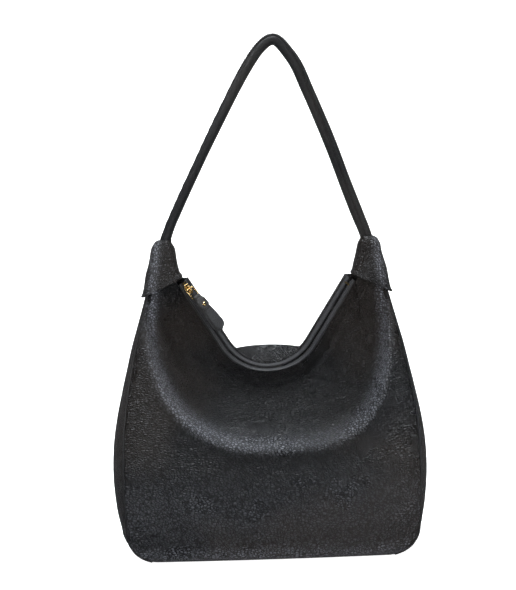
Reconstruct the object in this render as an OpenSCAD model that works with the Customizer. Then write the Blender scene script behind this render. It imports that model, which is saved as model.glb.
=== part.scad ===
// Slouchy leather shoulder bag: a soft shell on a flat base, with a curved zipped mouth
// between two horns, and one rolled handle whose ends are held in leather sleeves.
// The origin is at the middle of the base. The front faces -Y and +Z is up.

/* [Body] */
// How far each side gusset swells past its seams
gusset_bulge = 11; // [7:0.5:13]
// How far the front and back panels swell past the side seams
panel_bulge = 6; // [3:0.5:7]
// Thickness of the leather panels
leather_t = 2; // [1.6:0.1:2.2]
// Thickness of the lining cloth
lining_t = 0.8; // [0.5:0.1:1.2]

/* [Mouth and zip] */
// Height of the zip at the lowest point of the mouth
mouth_z = 206.5; // [200:0.5:212]
// Radius of the curved stretch of the zip
mouth_r = 58; // [54:1:60]
// Slope of the straight stretches of the zip, from horizontal
mouth_slope = 58; // [56:0.5:60]
// Tilt of the zip band out of the front view, on its straight stretches
band_tilt_side = 42; // [38:1:46]
// Tilt of the zip band at the lowest point of the mouth
band_tilt_mid = 60; // [50:1:64]
// Visible width of the front zip tape, from the middle of the zip
front_tape_w = 6; // [5:0.2:6.4]
// Visible width of the rear zip tape, from the middle of the zip
rear_tape_w = 8.4; // [7:0.2:8.8]

/* [Handle] */
// Diameter of the rolled handle
handle_d = 12.6; // [11:0.2:12.8]
// Height of the outside of the handle at its peak
handle_top_z = 577; // [560:1:600]
// Height of the line that the handle folds about
fold_z = 372; // [370:1:376]

/* [Zip pull] */
// Length of the leather pull from its bar to its tip
pull_l = 46; // [38:1:48]
// Widest part of the leather pull
pull_w = 17; // [13:0.5:18]

/* [Hidden] */

black_leather = [0.09, 0.09, 0.1];
edge_leather = [0.2, 0.2, 0.22];
black_tape = [0.05, 0.05, 0.06];
gold = [0.8, 0.62, 0.3];
lining_cloth = [0.35, 0.31, 0.27];
board_grey = [0.45, 0.45, 0.44];

gap = 0.4;

// Side view curves, each as [height, value]
horn_top_z = 330;
seam_half_w = [
    [0, 135], [6, 147], [15, 157.5], [31, 164.5], [90, 168], [140, 164.5], [183, 157.5],
    [210, 152], [233, 147.5], [255, 142], [280, 135.5], [300, 130.5], [330, 123]
];
seam_half_depth = [
    [0, 46], [8, 54], [25, 58], [100, 58], [140, 51], [200, 38], [250, 26], [280, 17],
    [300, 11.5], [330, 9]
];
gusset_swell = [
    [0, 0], [10, 0.1], [30, 0.3], [55, 0.75], [90, 1], [120, 0.9], [155, 0.62], [187, 0.45],
    [220, 0.28], [255, 0.18], [330, 0.16]
];
panel_swell = [[0, 0.3], [30, 0.7], [100, 1], [150, 0.8], [250, 0.35], [300, 0.15], [330, 0]];

function mix(a, b, t) = a + (b - a) * t;
function clamp01(t) = max(0, min(1, t));
function ease(t) = let (c = clamp01(t)) c * c * (3 - 2 * c);

// The soft fold that runs as a U round the mouth on the front and back panels
fold_half_w = 127;
fold_centre_z = 270;
fold_drop = 138.5;
fold_power = 2.5;
fold_softness = 0.25;
// The front slumps inwards: a ledge takes this share of the fall, over this share of the way
ledge_share = 0.3;
ledge_run = 0.36;
function fold_distance(x, z) =
    pow(
        pow(abs(x) / fold_half_w, fold_power)
            + pow(max(0, fold_centre_z - z) / fold_drop, fold_power),
        1 / fold_power
    );
// 0 on the fold and outside it, 1 at the mouth: with a rounded start on the back panel, and
// with a steep ledge on the front one
function back_fall(u) =
    (sqrt(u * u + fold_softness * fold_softness) - fold_softness)
        / (sqrt(1 + fold_softness * fold_softness) - fold_softness);
function front_fall(u) = ledge_share * ease(u / ledge_run) + (1 - ledge_share) * u;

// Zip path: an arc between two straight stretches. s is the length from its lowest point.
zip_arc_l = mouth_r * mouth_slope * PI / 180;
zip_straight_l = 84;
zip_half_l = zip_arc_l + zip_straight_l;
function zip_angle(s) = sign(s) * min(abs(s), zip_arc_l) / mouth_r * 180 / PI;
function zip_run(s) = max(0, abs(s) - zip_arc_l);
function zip_x(s) =
    mouth_r * sin(zip_angle(s)) + sign(s) * zip_run(s) * cos(mouth_slope);
function zip_z(s) =
    mouth_z + mouth_r * (1 - cos(zip_angle(s))) + zip_run(s) * sin(mouth_slope);
function zip_tilt(s) =
    mix(band_tilt_mid, band_tilt_side, ease(abs(s) / zip_arc_l));
function zip_inward(s) = [-sin(zip_angle(s)), 0, cos(zip_angle(s))];
// Unit vectors across the band, from front to rear, and out of its face
function zip_across(s) = zip_inward(s) * cos(zip_tilt(s)) + [0, sin(zip_tilt(s)), 0];
function zip_out(s) = zip_inward(s) * sin(zip_tilt(s)) - [0, cos(zip_tilt(s)), 0];
function zip_point(s, across, out) =
    [zip_x(s), 0, zip_z(s)] + across * zip_across(s) + out * zip_out(s);

// Edges of the front and back panels along the mouth, and up the inside of the horns
panel_gap = 0.7;
front_edge_d = -front_tape_w - panel_gap;
rear_edge_d = rear_tape_w + gap;
mouth_share = 0.72;
horn_share = 0.86;
horn_top_in_x = 107;
// The foot of the horn steps outwards from the end of the zip, to stay inside the sleeve
foot_share = 0.78;
horn_foot_x = 98.5;
function panel_top(s, edge_d) =
    let (
        a = abs(s),
        end = zip_point(zip_half_l, edge_d, 0),
        foot = [max(end.x, horn_foot_x), end.y, end.z],
        p = a <= mouth_share
            ? zip_point(a / mouth_share * zip_half_l, edge_d, 0)
            : a <= foot_share
                ? mix(end, foot, (a - mouth_share) / (foot_share - mouth_share))
            : a <= horn_share
                ? mix(
                    foot,
                    [horn_top_in_x, 0, horn_top_z],
                    (a - foot_share) / (horn_share - foot_share)
                )
                : mix(
                    [horn_top_in_x, 0, horn_top_z],
                    [lookup(horn_top_z, seam_half_w), 0, horn_top_z],
                    (a - horn_share) / (1 - horn_share)
                )
    )
    [sign(s) * p.x, p.y, p.z];

// The back panel stands higher than the zip in the middle, where it is pulled straight
chord_z = 228;
chord_half_w = 62;
chord_depth = 21;
chord_sharpness = 1.6;
least_rise = 0.8;
function chord_rise(s) =
    let (p = panel_top(s, rear_edge_d))
    max(least_rise, (chord_z - p.z) * ease(chord_sharpness * (1 - abs(p.x) / chord_half_w)));
function chord_share(s) = clamp01(chord_rise(s) / (chord_z - mouth_z));
function back_top(s) = panel_top(s, rear_edge_d) + [0, 0, chord_rise(s)];

function outer_depth(x, z) =
    lookup(z, seam_half_depth)
        + panel_bulge * lookup(z, panel_swell)
            * (1 - pow(min(1, abs(x) / lookup(z, seam_half_w)), 2));

// A point on a panel: s runs from seam to seam, v from the base to the top edge
low_edge_z = 0.3;
function panel_xz(s, v, top) =
    let (z = mix(low_edge_z, top.z, v), side = lookup(z, seam_half_w))
    [side * mix(s, top.x / lookup(top.z, seam_half_w), v), z];
function top_depth(s, top, mouth_depth) =
    abs(s) <= mouth_share
        ? mouth_depth
        : mix(
            mouth_depth,
            outer_depth(top.x, top.z),
            clamp01((abs(s) - mouth_share) / (horn_share - mouth_share))
        );
nearest_top_fold = 0.85;
function fold_share(p, top, lead) =
    clamp01(
        (1 - fold_distance(p.x, p.y)) / (1 - min(nearest_top_fold, fold_distance(top.x, top.z)))
            + lead
    );

panel_cols = 36;
panel_rows = 20;
row_growth = 1.35;
function row_share(r, rows) = pow(r / rows, row_growth);
// lead brings the ledge of the lining inside that of the leather
function front_point(s, v, inset, lead) =
    let (
        top = panel_top(s, front_edge_d),
        p = panel_xz(s, v, top),
        fall = front_fall(fold_share(p, top, lead)),
        depth = mix(outer_depth(p.x, p.y), top_depth(s, top, -top.y), fall)
    )
    [p.x, inset - depth, p.y];
function back_point(s, v, inset) =
    let (
        top = back_top(s),
        p = panel_xz(s, v, top),
        lip = top.y + chord_depth * chord_share(s),
        fall = back_fall(fold_share(p, top, 0)),
        lean = tape_clear * (1 - clamp01((abs(s) - mouth_share) / (horn_share - mouth_share))),
        clear = lean * ease((v - tape_clear_from) / (1 - tape_clear_from)),
        depth = mix(outer_depth(p.x, p.y), top_depth(s, top, lip), fall)
    )
    [p.x, depth + clear - inset, p.y];
// The back panel's top leans back by this much, so that it passes behind the rear zip tape
tape_clear = 2.2;
tape_clear_from = 0.8;
function front_grid(inset) =
    [for (r = [0:panel_rows]) [for (c = [0:panel_cols])
        front_point(2 * c / panel_cols - 1, row_share(r, panel_rows), inset, 0)]];
function back_grid(inset) =
    [for (r = [0:panel_rows]) [for (c = [0:panel_cols])
        back_point(1 - 2 * c / panel_cols, row_share(r, panel_rows), inset)]];

// A point on the right gusset: w runs from the front seam, -1, to the back seam, 1
gusset_cols = 12;
function gusset_point(w, z, inset, half_depth) =
    [
        lookup(z, seam_half_w) + gusset_bulge * lookup(z, gusset_swell) * (1 - w * w) - inset,
        w * half_depth,
        z
    ];
function gusset_grid(inset, edge_inset, z_low, z_top, rows, cols) =
    [for (r = [0:rows])
        let (z = mix(z_low, z_top, row_share(r, rows)))
        [for (c = [0:cols])
            gusset_point(
                2 * c / cols - 1, z, inset, lookup(z, seam_half_depth) - edge_inset
            )]];

function quad(a, b, c, d) = [[a, b, c], [a, c, d]];

// Closed solid between two grids of points with the same rows and columns. The columns run
// to the right and the rows upwards, as seen from outside the first grid.
module slab(outer, inner) {
    rows = len(outer) - 1;
    cols = len(outer[0]) - 1;
    n = (rows + 1) * (cols + 1);
    function id(r, c) = r * (cols + 1) + c;
    points = [for (grid = [outer, inner]) for (row = grid) each row];
    faces = [
        for (r = [0:rows - 1], c = [0:cols - 1])
            each quad(id(r, c), id(r + 1, c), id(r + 1, c + 1), id(r, c + 1)),
        for (r = [0:rows - 1], c = [0:cols - 1])
            each quad(n + id(r, c), n + id(r, c + 1), n + id(r + 1, c + 1), n + id(r + 1, c)),
        for (c = [0:cols - 1])
            each quad(id(0, c), id(0, c + 1), n + id(0, c + 1), n + id(0, c)),
        for (c = [0:cols - 1])
            each quad(id(rows, c + 1), id(rows, c), n + id(rows, c), n + id(rows, c + 1)),
        for (r = [0:rows - 1])
            each quad(id(r + 1, 0), id(r, 0), n + id(r, 0), n + id(r + 1, 0)),
        for (r = [0:rows - 1])
            each quad(id(r, cols), id(r + 1, cols), n + id(r + 1, cols), n + id(r, cols))
    ];
    polyhedron(points, faces);
}

// Solid through a list of closed rings, each clockwise as seen looking along the path
module loft(rings) {
    k = len(rings[0]);
    last = len(rings) - 1;
    faces = [
        for (r = [0:last - 1], i = [0:k - 1])
            each quad(
                r * k + i, (r + 1) * k + i, (r + 1) * k + (i + 1) % k, r * k + (i + 1) % k
            ),
        [for (i = [0:k - 1]) i],
        [for (i = [k - 1:-1:0]) last * k + i]
    ];
    polyhedron([for (ring = rings) each ring], faces);
}

// Open-ended wall between two lists of closed rings, with the same counts
module ring_wall(outer, inner) {
    k = len(outer[0]);
    last = len(outer) - 1;
    n = k * (last + 1);
    faces = [
        for (r = [0:last - 1], i = [0:k - 1])
            let (j = (i + 1) % k)
            each concat(
                quad(r * k + i, (r + 1) * k + i, (r + 1) * k + j, r * k + j),
                quad(n + r * k + i, n + r * k + j, n + (r + 1) * k + j, n + (r + 1) * k + i)
            ),
        for (i = [0:k - 1])
            let (j = (i + 1) % k, e = last * k)
            each concat(
                quad(i, j, n + j, n + i),
                quad(e + j, e + i, n + e + i, n + e + j)
            )
    ];
    polyhedron([for (grid = [outer, inner]) for (ring = grid) each ring], faces);
}

// A strip that follows the zip: section is a list of [across, out] points
zip_steps = 30;
module zip_strip(section, from = -zip_half_l, to = zip_half_l, steps = 2 * zip_steps) {
    loft([for (i = [0:steps])
        let (s = mix(from, to, i / steps))
        [for (p = section) zip_point(s, p.x, p.y)]]);
}

module mirrored() {
    mirror([1, 0, 0]) children();
}

// Leather shell
module front_panel() {
    color(black_leather) slab(front_grid(0), front_grid(leather_t));
}

module back_panel() {
    color(black_leather) slab(back_grid(0), back_grid(leather_t));
}

seam_clear = leather_t + gap;
module right_gusset() {
    color(black_leather) slab(
        gusset_grid(0, seam_clear, low_edge_z, horn_top_z, panel_rows, gusset_cols),
        gusset_grid(leather_t, seam_clear, low_edge_z, horn_top_z, panel_rows, gusset_cols)
    );
}

module left_gusset() {
    mirrored() right_gusset();
}

base_half_w = seam_half_w[0][1] - leather_t - gap;
base_half_d = seam_half_depth[0][1] - leather_t - gap;
base_corner_r = 14;
module base_sheet(inset, z, t) {
    r = base_corner_r;
    w = base_half_w - inset;
    d = base_half_d - inset;
    translate([0, 0, z]) linear_extrude(t) hull()
        for (x = [-1, 1], y = [-1, 1])
            translate([x * (w - r), y * (d - r)]) circle(r, $fn = 32);
}

module base_panel() {
    color(black_leather) base_sheet(0, 0, leather_t);
}

// Turned edge of the front panel, on top of the front zip tape
edge_strip_w = 2;
edge_strip_t = 1.3;
edge_strip_out = 0.6;
module front_mouth_edge() {
    inner = front_edge_d + gap + 0.4;
    color(edge_leather) zip_strip([
        [inner - edge_strip_w, edge_strip_out],
        [inner - edge_strip_w, edge_strip_out + edge_strip_t],
        [inner, edge_strip_out + edge_strip_t],
        [inner, edge_strip_out]
    ]);
}

// Strip of the back panel's turned top, from the rear tape up to the straight chord
facing_cols = 40;
facing_t = 1.2;
facing_lap = 1.8;
facing_gap = 0.4;
facing_share = 0.975;
module back_mouth_facing() {
    low_d = rear_edge_d - facing_lap;
    function zip_s(c) = facing_share * zip_half_l * (2 * c / facing_cols - 1);
    function low(c) = zip_point(zip_s(c), low_d, edge_strip_out);
    function high(c) =
        let (s = facing_share * mouth_share * (2 * c / facing_cols - 1))
        back_top(s)
            + [0, chord_depth * chord_share(s) + tape_clear - leather_t, 0]
            + facing_gap * zip_out(zip_s(c));
    function lift(c) = facing_t * zip_out(zip_s(c));
    cols = [0:facing_cols];
    color(black_leather) slab(
        [[for (c = cols) low(c) + lift(c)], [for (c = cols) high(c) + lift(c)]],
        [[for (c = cols) low(c)], [for (c = cols) high(c)]]
    );
}

// Sleeves over the horns: each level is [height, inner x, outer x, half depth]
sleeve_levels = [
    [301, 94, 138.5, 19], [318, 96.5, 131.8, 15.2], [332, 99.8, 128.2, 12.8],
    [344, 102.2, 126.4, 11.4], [350, 105, 123.5, 9.8]
];
sleeve_slant = [10, -11];
sleeve_t = 1.8;
sleeve_sides = 32;
sleeve_power = 0.45;
sleeve_top_z = 352;
hole_r = 7.4;
hole_x = 111.4;
function sleeve_ring(level, inset, slanted) =
    let (
        mid = (level[1] + level[2]) / 2,
        half = (level[2] - level[1]) / 2 - inset,
        depth = level[3] - inset
    )
    [for (i = [0:sleeve_sides - 1])
        let (
            a = -360 * i / sleeve_sides,
            u = sign(cos(a)) * pow(abs(cos(a)), sleeve_power),
            w = sign(sin(a)) * pow(abs(sin(a)), sleeve_power),
            slant = slanted ? mix(sleeve_slant[0], sleeve_slant[1], (1 + u) / 2) : 0
        )
        [mid + half * u, depth * w, level[0] + slant]];
function hole_ring(z) =
    [for (i = [0:sleeve_sides - 1])
        let (a = -360 * i / sleeve_sides)
        [hole_x + hole_r * cos(a), hole_r * sin(a), z]];
module right_sleeve() {
    outer = concat(
        [for (i = [0:len(sleeve_levels) - 1]) sleeve_ring(sleeve_levels[i], 0, i == 0)],
        [hole_ring(sleeve_top_z)]
    );
    inner = concat(
        [for (i = [0:len(sleeve_levels) - 1])
            sleeve_ring(sleeve_levels[i] - [i > 2 ? 1 : 0, 0, 0, 0], sleeve_t, i == 0)],
        [hole_ring(sleeve_top_z - sleeve_t)]
    );
    color(black_leather) ring_wall(outer, inner);
}

module left_sleeve() {
    mirrored() right_sleeve();
}

// Handle: a pointed arch whose peak leans to the right. The route is [x, height above the
// fold line as a share of the handle's rise], from the left end to the right one.
handle_r = handle_d / 2;
handle_rise = handle_top_z - handle_r - fold_z;
handle_route = [
    [-103.5, 0], [-86.8, 0.177], [-64.9, 0.4], [-42, 0.622], [-30.6, 0.733], [-18, 0.845],
    [-4, 0.945], [12, 1], [27, 0.925], [37.6, 0.845], [47, 0.733], [56.3, 0.622],
    [74.2, 0.4], [90.3, 0.177], [103.5, 0]
];
route_steps = 3;
// Catmull-Rom curve through the route
function curve_point(p, i, t) =
    let (
        last = len(p) - 1,
        a = p[max(0, i - 1)], b = p[i], c = p[min(last, i + 1)], d = p[min(last, i + 2)]
    )
    0.5 * (2 * b + (c - a) * t + (2 * a - 5 * b + 4 * c - d) * t * t
        + (3 * b - a - 3 * c + d) * t * t * t);
handle_path = [
    for (i = [0:len(handle_route) - 2], k = [0:route_steps - 1])
        let (p = curve_point(handle_route, i, k / route_steps))
        [p.x, 0, fold_z + handle_rise * p.y],
    [103.5, 0, fold_z]
];
function unit(v) = v / norm(v);
// Circle of radius r square to the path at point i, clockwise as seen along the path
handle_sides = 12;
function path_ring(path, i, r, shift = 0) =
    let (
        last = len(path) - 1,
        t = unit(path[min(last, i + 1)] - path[max(0, i - 1)]),
        side = [t.z, 0, -t.x]
    )
    [for (k = [0:handle_sides - 1])
        let (a = 360 * k / handle_sides)
        path[i] + shift * t + r * (cos(a) * side + sin(a) * [0, -1, 0])];
core_clear = 0.2;
core_r = handle_r - leather_t - core_clear;
module handle_cover() {
    color(black_leather) ring_wall(
        [for (i = [0:len(handle_path) - 1]) path_ring(handle_path, i, handle_r)],
        [for (i = [0:len(handle_path) - 1]) path_ring(handle_path, i, handle_r - leather_t)]
    );
}

// The core's ends are rounded about the fold line, so that they turn clear of the handle ends
knob_steps = 4;
knob_turn = 82;
knob_gap = 0.2;
knob_r = handle_r - knob_gap;
neck_shift = 0.1;
module handle_core() {
    last = len(handle_path) - 1;
    start = [for (k = [knob_steps:-1:0])
        let (a = knob_turn * k / knob_steps)
        path_ring(handle_path, 0, knob_r * cos(a), -knob_gap - knob_r * sin(a))];
    end = [for (k = [0:knob_steps])
        let (a = knob_turn * k / knob_steps)
        path_ring(handle_path, last, knob_r * cos(a), knob_gap + knob_r * sin(a))];
    color(board_grey) loft(concat(
        start,
        [for (i = [0:last])
            path_ring(handle_path, i, core_r, i == 0 ? -neck_shift : i == last ? neck_shift : 0)],
        end
    ));
}

// Ends of the handle that are held in the sleeves, up to just below the fold line
handle_end_route = [
    [115, 0, 312], [115, 0, 322], [114.8, 0, 332], [113.8, 0, 342], [111.6, 0, 351],
    [109.2, 0, 357.4], [107.8, 0, 361.6]
];
module right_handle_end() {
    last = len(handle_end_route) - 1;
    color(black_leather) loft([for (i = [0:last]) path_ring(handle_end_route, i, handle_r)]);
}

module left_handle_end() {
    mirrored() right_handle_end();
}

// Zip
tape_t = 0.6;
coil_in = 0.75;
coil_out = 2.55;
coil_h = 0.9;
coil_cut = 0.5;
module tape(near, far) {
    h = tape_t / 2;
    color(black_tape) zip_strip(
        near < far
            ? [[near, -h], [near, h], [far, h], [far, -h]]
            : [[far, -h], [far, h], [near, h], [near, -h]]
    );
}

module coil(side) {
    section = [
        [coil_in, coil_cut - coil_h], [coil_in, coil_h - coil_cut], [coil_in + coil_cut, coil_h],
        [coil_out - coil_cut, coil_h], [coil_out, coil_h - coil_cut], [coil_out, coil_cut - coil_h],
        [coil_out - coil_cut, -coil_h], [coil_in + coil_cut, -coil_h]
    ];
    n = len(section);
    color(black_tape) zip_strip(
        side > 0 ? section : [for (i = [n - 1:-1:0]) [-section[i].x, section[i].y]]
    );
}

module front_zip_tape() {
    tape(-coil_out, -front_tape_w);
}

module rear_zip_tape() {
    tape(coil_out, rear_tape_w);
}

module front_zip_coil() {
    coil(-1);
}

module rear_zip_coil() {
    coil(1);
}

// Places its children on the left straight stretch of the zip, run mm up from the arc. There
// +X is the way that the slider opens, +Y is across the band to the rear and +Z is out of it.
slider_run = 74;
module on_left_zip(run) {
    s = -(zip_arc_l + run);
    translate([zip_x(s), 0, zip_z(s)])
        rotate([0, mouth_slope, 0])
            rotate([90 - band_tilt_side, 0, 0])
                children();
}

stop_l = 1.8;
stop_w = 6.6;
stop_h = 3.4;
top_stop_run = 82;
end_stop_run = 77;
module stop() {
    difference() {
        cube([stop_l, stop_w, stop_h], center = true);
        cube([stop_l + 1, 2 * coil_out + gap, 2 * coil_h + gap], center = true);
        cube([stop_l + 1, stop_w + 1, tape_t + gap], center = true);
    }
}

module zip_top_stop() {
    color(gold) on_left_zip(top_stop_run) stop();
}

module zip_end_stop() {
    color(gold) mirrored() on_left_zip(end_stop_run) stop();
}

// Slider: two plates joined by a post that runs between the two coils
slider_l = 12;
slider_w = 8.4;
plate_z = 1.35;
plate_t = 1.15;
flange_t = 0.6;
flange_h = 0.55;
post_w = 0.7;
post_l = 2.6;
post_x = -5.4;
overlap = 0.1;
module slider_post() {
    translate([post_x, -post_w / 2, -plate_z - overlap])
        cube([post_l, post_w, 2 * (plate_z + overlap)]);
}

module slider_plate() {
    translate([-slider_l / 2, -slider_w / 2, plate_z]) cube([slider_l, slider_w, plate_t]);
    for (side = [-1, 1])
        translate([
            -slider_l / 2,
            side * (slider_w - flange_t) / 2 - flange_t / 2,
            plate_z - flange_h
        ])
            cube([slider_l, flange_t, flange_h + overlap]);
}

module slider_body() {
    color(gold) on_left_zip(slider_run) {
        slider_plate();
        mirror([0, 0, 1]) slider_plate();
        slider_post();
    }
}

bar_z = 3.9;
bridge_l = 7.6;
bridge_w = 2;
bridge_top = 6.2;
bridge_wall = 1.2;
window_low = 2.9;
module slider_bridge() {
    low = plate_z + plate_t;
    color(gold) on_left_zip(slider_run) difference() {
        translate([-bridge_l / 2, -bridge_w / 2, low]) cube([bridge_l, bridge_w, bridge_top - low]);
        translate([-bridge_l / 2 + bridge_wall, -bridge_w, window_low])
            cube([
                bridge_l - 2 * bridge_wall, 2 * bridge_w, bridge_top - window_low - bridge_wall
            ]);
    }
}

// Puller: a wire link from the bridge to the leather pull, held a little off the zip
pull_lift = 7;
bar_r = 0.8;
arm_r = 0.7;
link_l = 12;
link_w = 11;
module on_puller() {
    on_left_zip(slider_run)
        translate([0, 0, bar_z])
            rotate([0, -pull_lift, 0])
                children();
}

module puller_link() {
    color(gold) on_puller() {
        for (x = [0, link_l])
            translate([x, 0, 0]) rotate([90, 0, 0])
                cylinder(r = bar_r, h = link_w + 3 * arm_r, center = true, $fn = 32);
        for (side = [-1, 1])
            translate([0, side * link_w / 2, 0]) rotate([0, 90, 0])
                cylinder(r = arm_r, h = link_l, $fn = 32);
    }
}

// Leather pull: a strap folded round the link's bar, with a short flap riveted on top
eye_r = 2.7;
eye_hole_r = 1.2;
neck_w = 9;
strap_t = 3.4;
flap_l = 17;
flap_w = 13;
flap_t = 1.5;
flap_sink = 0.3;
flap_clip = 3.6;
rivet_x = 11.5;
rivet_shank_r = 1.2;
module strap_outline() {
    end_r = pull_w / 2;
    hull() {
        translate([eye_r * 0.5, -neck_w / 2]) square([1, neck_w]);
        translate([pull_l - end_r, 0]) circle(end_r, $fn = 48);
    }
}

module flap_outline() {
    half = flap_w / 2;
    side_end = flap_l - flap_clip;
    polygon([
        [1, -neck_w / 2], [5, -half], [side_end, -half], [flap_l, flap_clip - half],
        [flap_l, half - flap_clip], [side_end, half], [5, half], [1, neck_w / 2]
    ]);
}

module leather_pull() {
    color(edge_leather) on_puller() translate([link_l, 0, 0]) difference() {
        union() {
            rotate([90, 0, 0]) cylinder(r = eye_r, h = neck_w, center = true, $fn = 48);
            translate([0, 0, -strap_t / 2]) linear_extrude(strap_t) strap_outline();
            translate([0, 0, strap_t / 2 - flap_sink])
                linear_extrude(flap_t + flap_sink) flap_outline();
        }
        rotate([90, 0, 0])
            cylinder(r = eye_hole_r, h = neck_w + 2, center = true, $fn = 48);
        translate([rivet_x, 0, 0])
            cylinder(r = rivet_shank_r, h = pull_l, center = true, $fn = 32);
    }
}

rivet_head_r = 2.6;
rivet_dome_r = 3.2;
rivet_cap_t = 0.8;
module pull_rivet() {
    top = strap_t / 2 + flap_t;
    dome_drop = sqrt(rivet_dome_r * rivet_dome_r - rivet_head_r * rivet_head_r);
    color(gold) on_puller() translate([link_l + rivet_x, 0, 0]) {
        translate([0, 0, -strap_t / 2 - rivet_cap_t])
            cylinder(r = rivet_head_r, h = rivet_cap_t, $fn = 48);
        translate([0, 0, -strap_t / 2 - rivet_cap_t / 2])
            cylinder(r = rivet_shank_r, h = strap_t + flap_t + rivet_cap_t, $fn = 32);
        translate([0, 0, top]) intersection() {
            translate([0, 0, -dome_drop]) sphere(rivet_dome_r, $fn = 48);
            cylinder(r = rivet_head_r, h = rivet_dome_r, $fn = 48);
        }
    }
}

// Lining, one cloth panel behind each leather one, clear of the base and of the side seams
// Room between the leather and its lining
lining_clear = 1.9;
lining_inset = leather_t + lining_clear;
lining_edge_inset = lining_inset + lining_t + 2;
lining_lead = 0.07;
lining_share = 0.978;
lining_low_row = 0.016;
lining_top_row = 0.9;
lining_rows = 14;
front_lining_cols = 28;
back_lining_cols = 20;
side_lining_cols = 6;
side_lining_low_z = 3.2;
side_lining_top_z = 280;
function lining_row(r) = mix(lining_low_row, lining_top_row, row_share(r, lining_rows));
function front_lining_grid(inset) =
    [for (r = [0:lining_rows]) [for (c = [0:front_lining_cols])
        front_point(
            lining_share * (2 * c / front_lining_cols - 1), lining_row(r), inset, lining_lead
        )]];
function back_lining_grid(inset) =
    [for (r = [0:lining_rows]) [for (c = [0:back_lining_cols])
        back_point(lining_share * (1 - 2 * c / back_lining_cols), lining_row(r), inset)]];
function side_lining_grid(inset) =
    gusset_grid(
        inset, lining_edge_inset, side_lining_low_z, side_lining_top_z,
        lining_rows, side_lining_cols
    );
module front_lining() {
    color(lining_cloth)
        slab(front_lining_grid(lining_inset), front_lining_grid(lining_inset + lining_t));
}

module back_lining() {
    color(lining_cloth)
        slab(back_lining_grid(lining_inset), back_lining_grid(lining_inset + lining_t));
}

module right_lining() {
    color(lining_cloth)
        slab(side_lining_grid(lining_inset), side_lining_grid(lining_inset + lining_t));
}

module left_lining() {
    mirrored() right_lining();
}

board_t = 2;
board_inset = 8;
board_z = leather_t + gap;
module base_board() {
    color(board_grey) base_sheet(board_inset, board_z, board_t);
}

module base_lining() {
    color(lining_cloth) base_sheet(board_inset, board_z + board_t + gap, lining_t);
}

// Open pocket that lies flat on the front lining, and a zipped pocket on the back lining
pocket_w = 150;
pocket_low_z = 20;
pocket_h = 90;
pocket_y = -53;
module slip_pocket() {
    color(lining_cloth)
        translate([-pocket_w / 2, pocket_y, pocket_low_z]) cube([pocket_w, lining_t, pocket_h]);
}

pocket_zip_l = 160;
pocket_zip_w = 20;
pocket_zip_z = 96;
pocket_zip_y = 52;
module pocket_zip_tape() {
    slot = 2 * coil_out;
    color(black_tape)
        for (side = [-1, 1])
            translate([0, pocket_zip_y, pocket_zip_z + side * (slot + pocket_zip_w) / 4])
                cube([pocket_zip_l, tape_t, (pocket_zip_w - slot) / 2], center = true);
}

module pocket_zip_coil() {
    coil_w = coil_out - coil_in;
    color(black_tape)
        for (side = [-1, 1])
            translate([0, pocket_zip_y, pocket_zip_z + side * (coil_in + coil_out) / 2])
                cube([pocket_zip_l, 2 * coil_h, coil_w], center = true);
}

pocket_slider_x = -72;
pocket_tab_l = 22;
pocket_tab_w = 3;
pocket_tab_t = 1.1;
module pocket_slider() {
    color(gold) translate([pocket_slider_x, pocket_zip_y, pocket_zip_z])
        rotate([90, 0, 0]) {
            slider_plate();
            mirror([0, 0, 1]) slider_plate();
            slider_post();
            translate([-pocket_tab_w / 2, -pocket_tab_l, plate_z + plate_t - overlap])
                cube([pocket_tab_w, pocket_tab_l, pocket_tab_t]);
        }
}

front_panel();
back_panel();
left_gusset();
right_gusset();
base_panel();
front_mouth_edge();
back_mouth_facing();
left_sleeve();
right_sleeve();
left_handle_end();
right_handle_end();
handle_cover();
handle_core();
front_zip_tape();
rear_zip_tape();
front_zip_coil();
rear_zip_coil();
zip_top_stop();
zip_end_stop();
slider_body();
slider_bridge();
puller_link();
leather_pull();
pull_rivet();
front_lining();
back_lining();
left_lining();
right_lining();
base_lining();
base_board();
slip_pocket();
pocket_zip_tape();
pocket_zip_coil();
pocket_slider();
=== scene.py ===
"""Looks of the leather shoulder bag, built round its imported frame.

Lengths in this script are in millimetres until a mesh is made, and the shape curves repeat
those of the part, with smooth interpolation between their points.
"""
import math

import bpy
import numpy as np
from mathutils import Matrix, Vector


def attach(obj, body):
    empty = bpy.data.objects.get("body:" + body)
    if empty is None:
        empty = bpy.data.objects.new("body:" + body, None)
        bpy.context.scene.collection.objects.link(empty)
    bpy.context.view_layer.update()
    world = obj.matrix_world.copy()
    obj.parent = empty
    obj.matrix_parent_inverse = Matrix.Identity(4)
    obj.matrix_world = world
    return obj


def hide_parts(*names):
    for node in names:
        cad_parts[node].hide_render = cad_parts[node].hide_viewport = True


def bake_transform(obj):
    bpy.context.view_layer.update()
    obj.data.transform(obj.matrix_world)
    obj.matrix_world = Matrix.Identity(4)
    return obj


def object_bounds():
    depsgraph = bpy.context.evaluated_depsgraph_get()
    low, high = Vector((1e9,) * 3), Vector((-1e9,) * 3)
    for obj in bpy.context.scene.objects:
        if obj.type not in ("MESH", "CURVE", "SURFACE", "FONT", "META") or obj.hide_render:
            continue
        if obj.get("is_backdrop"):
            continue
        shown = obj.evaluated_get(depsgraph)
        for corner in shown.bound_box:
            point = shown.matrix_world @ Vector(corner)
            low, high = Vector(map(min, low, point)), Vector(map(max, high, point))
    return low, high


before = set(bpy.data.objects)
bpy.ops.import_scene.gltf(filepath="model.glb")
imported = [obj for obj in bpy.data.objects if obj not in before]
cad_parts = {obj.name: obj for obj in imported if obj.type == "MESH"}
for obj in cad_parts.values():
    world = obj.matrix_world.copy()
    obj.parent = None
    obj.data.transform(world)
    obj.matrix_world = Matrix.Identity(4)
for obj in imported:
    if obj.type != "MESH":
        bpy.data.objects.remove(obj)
cad_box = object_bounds()

MM = 0.001

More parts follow.
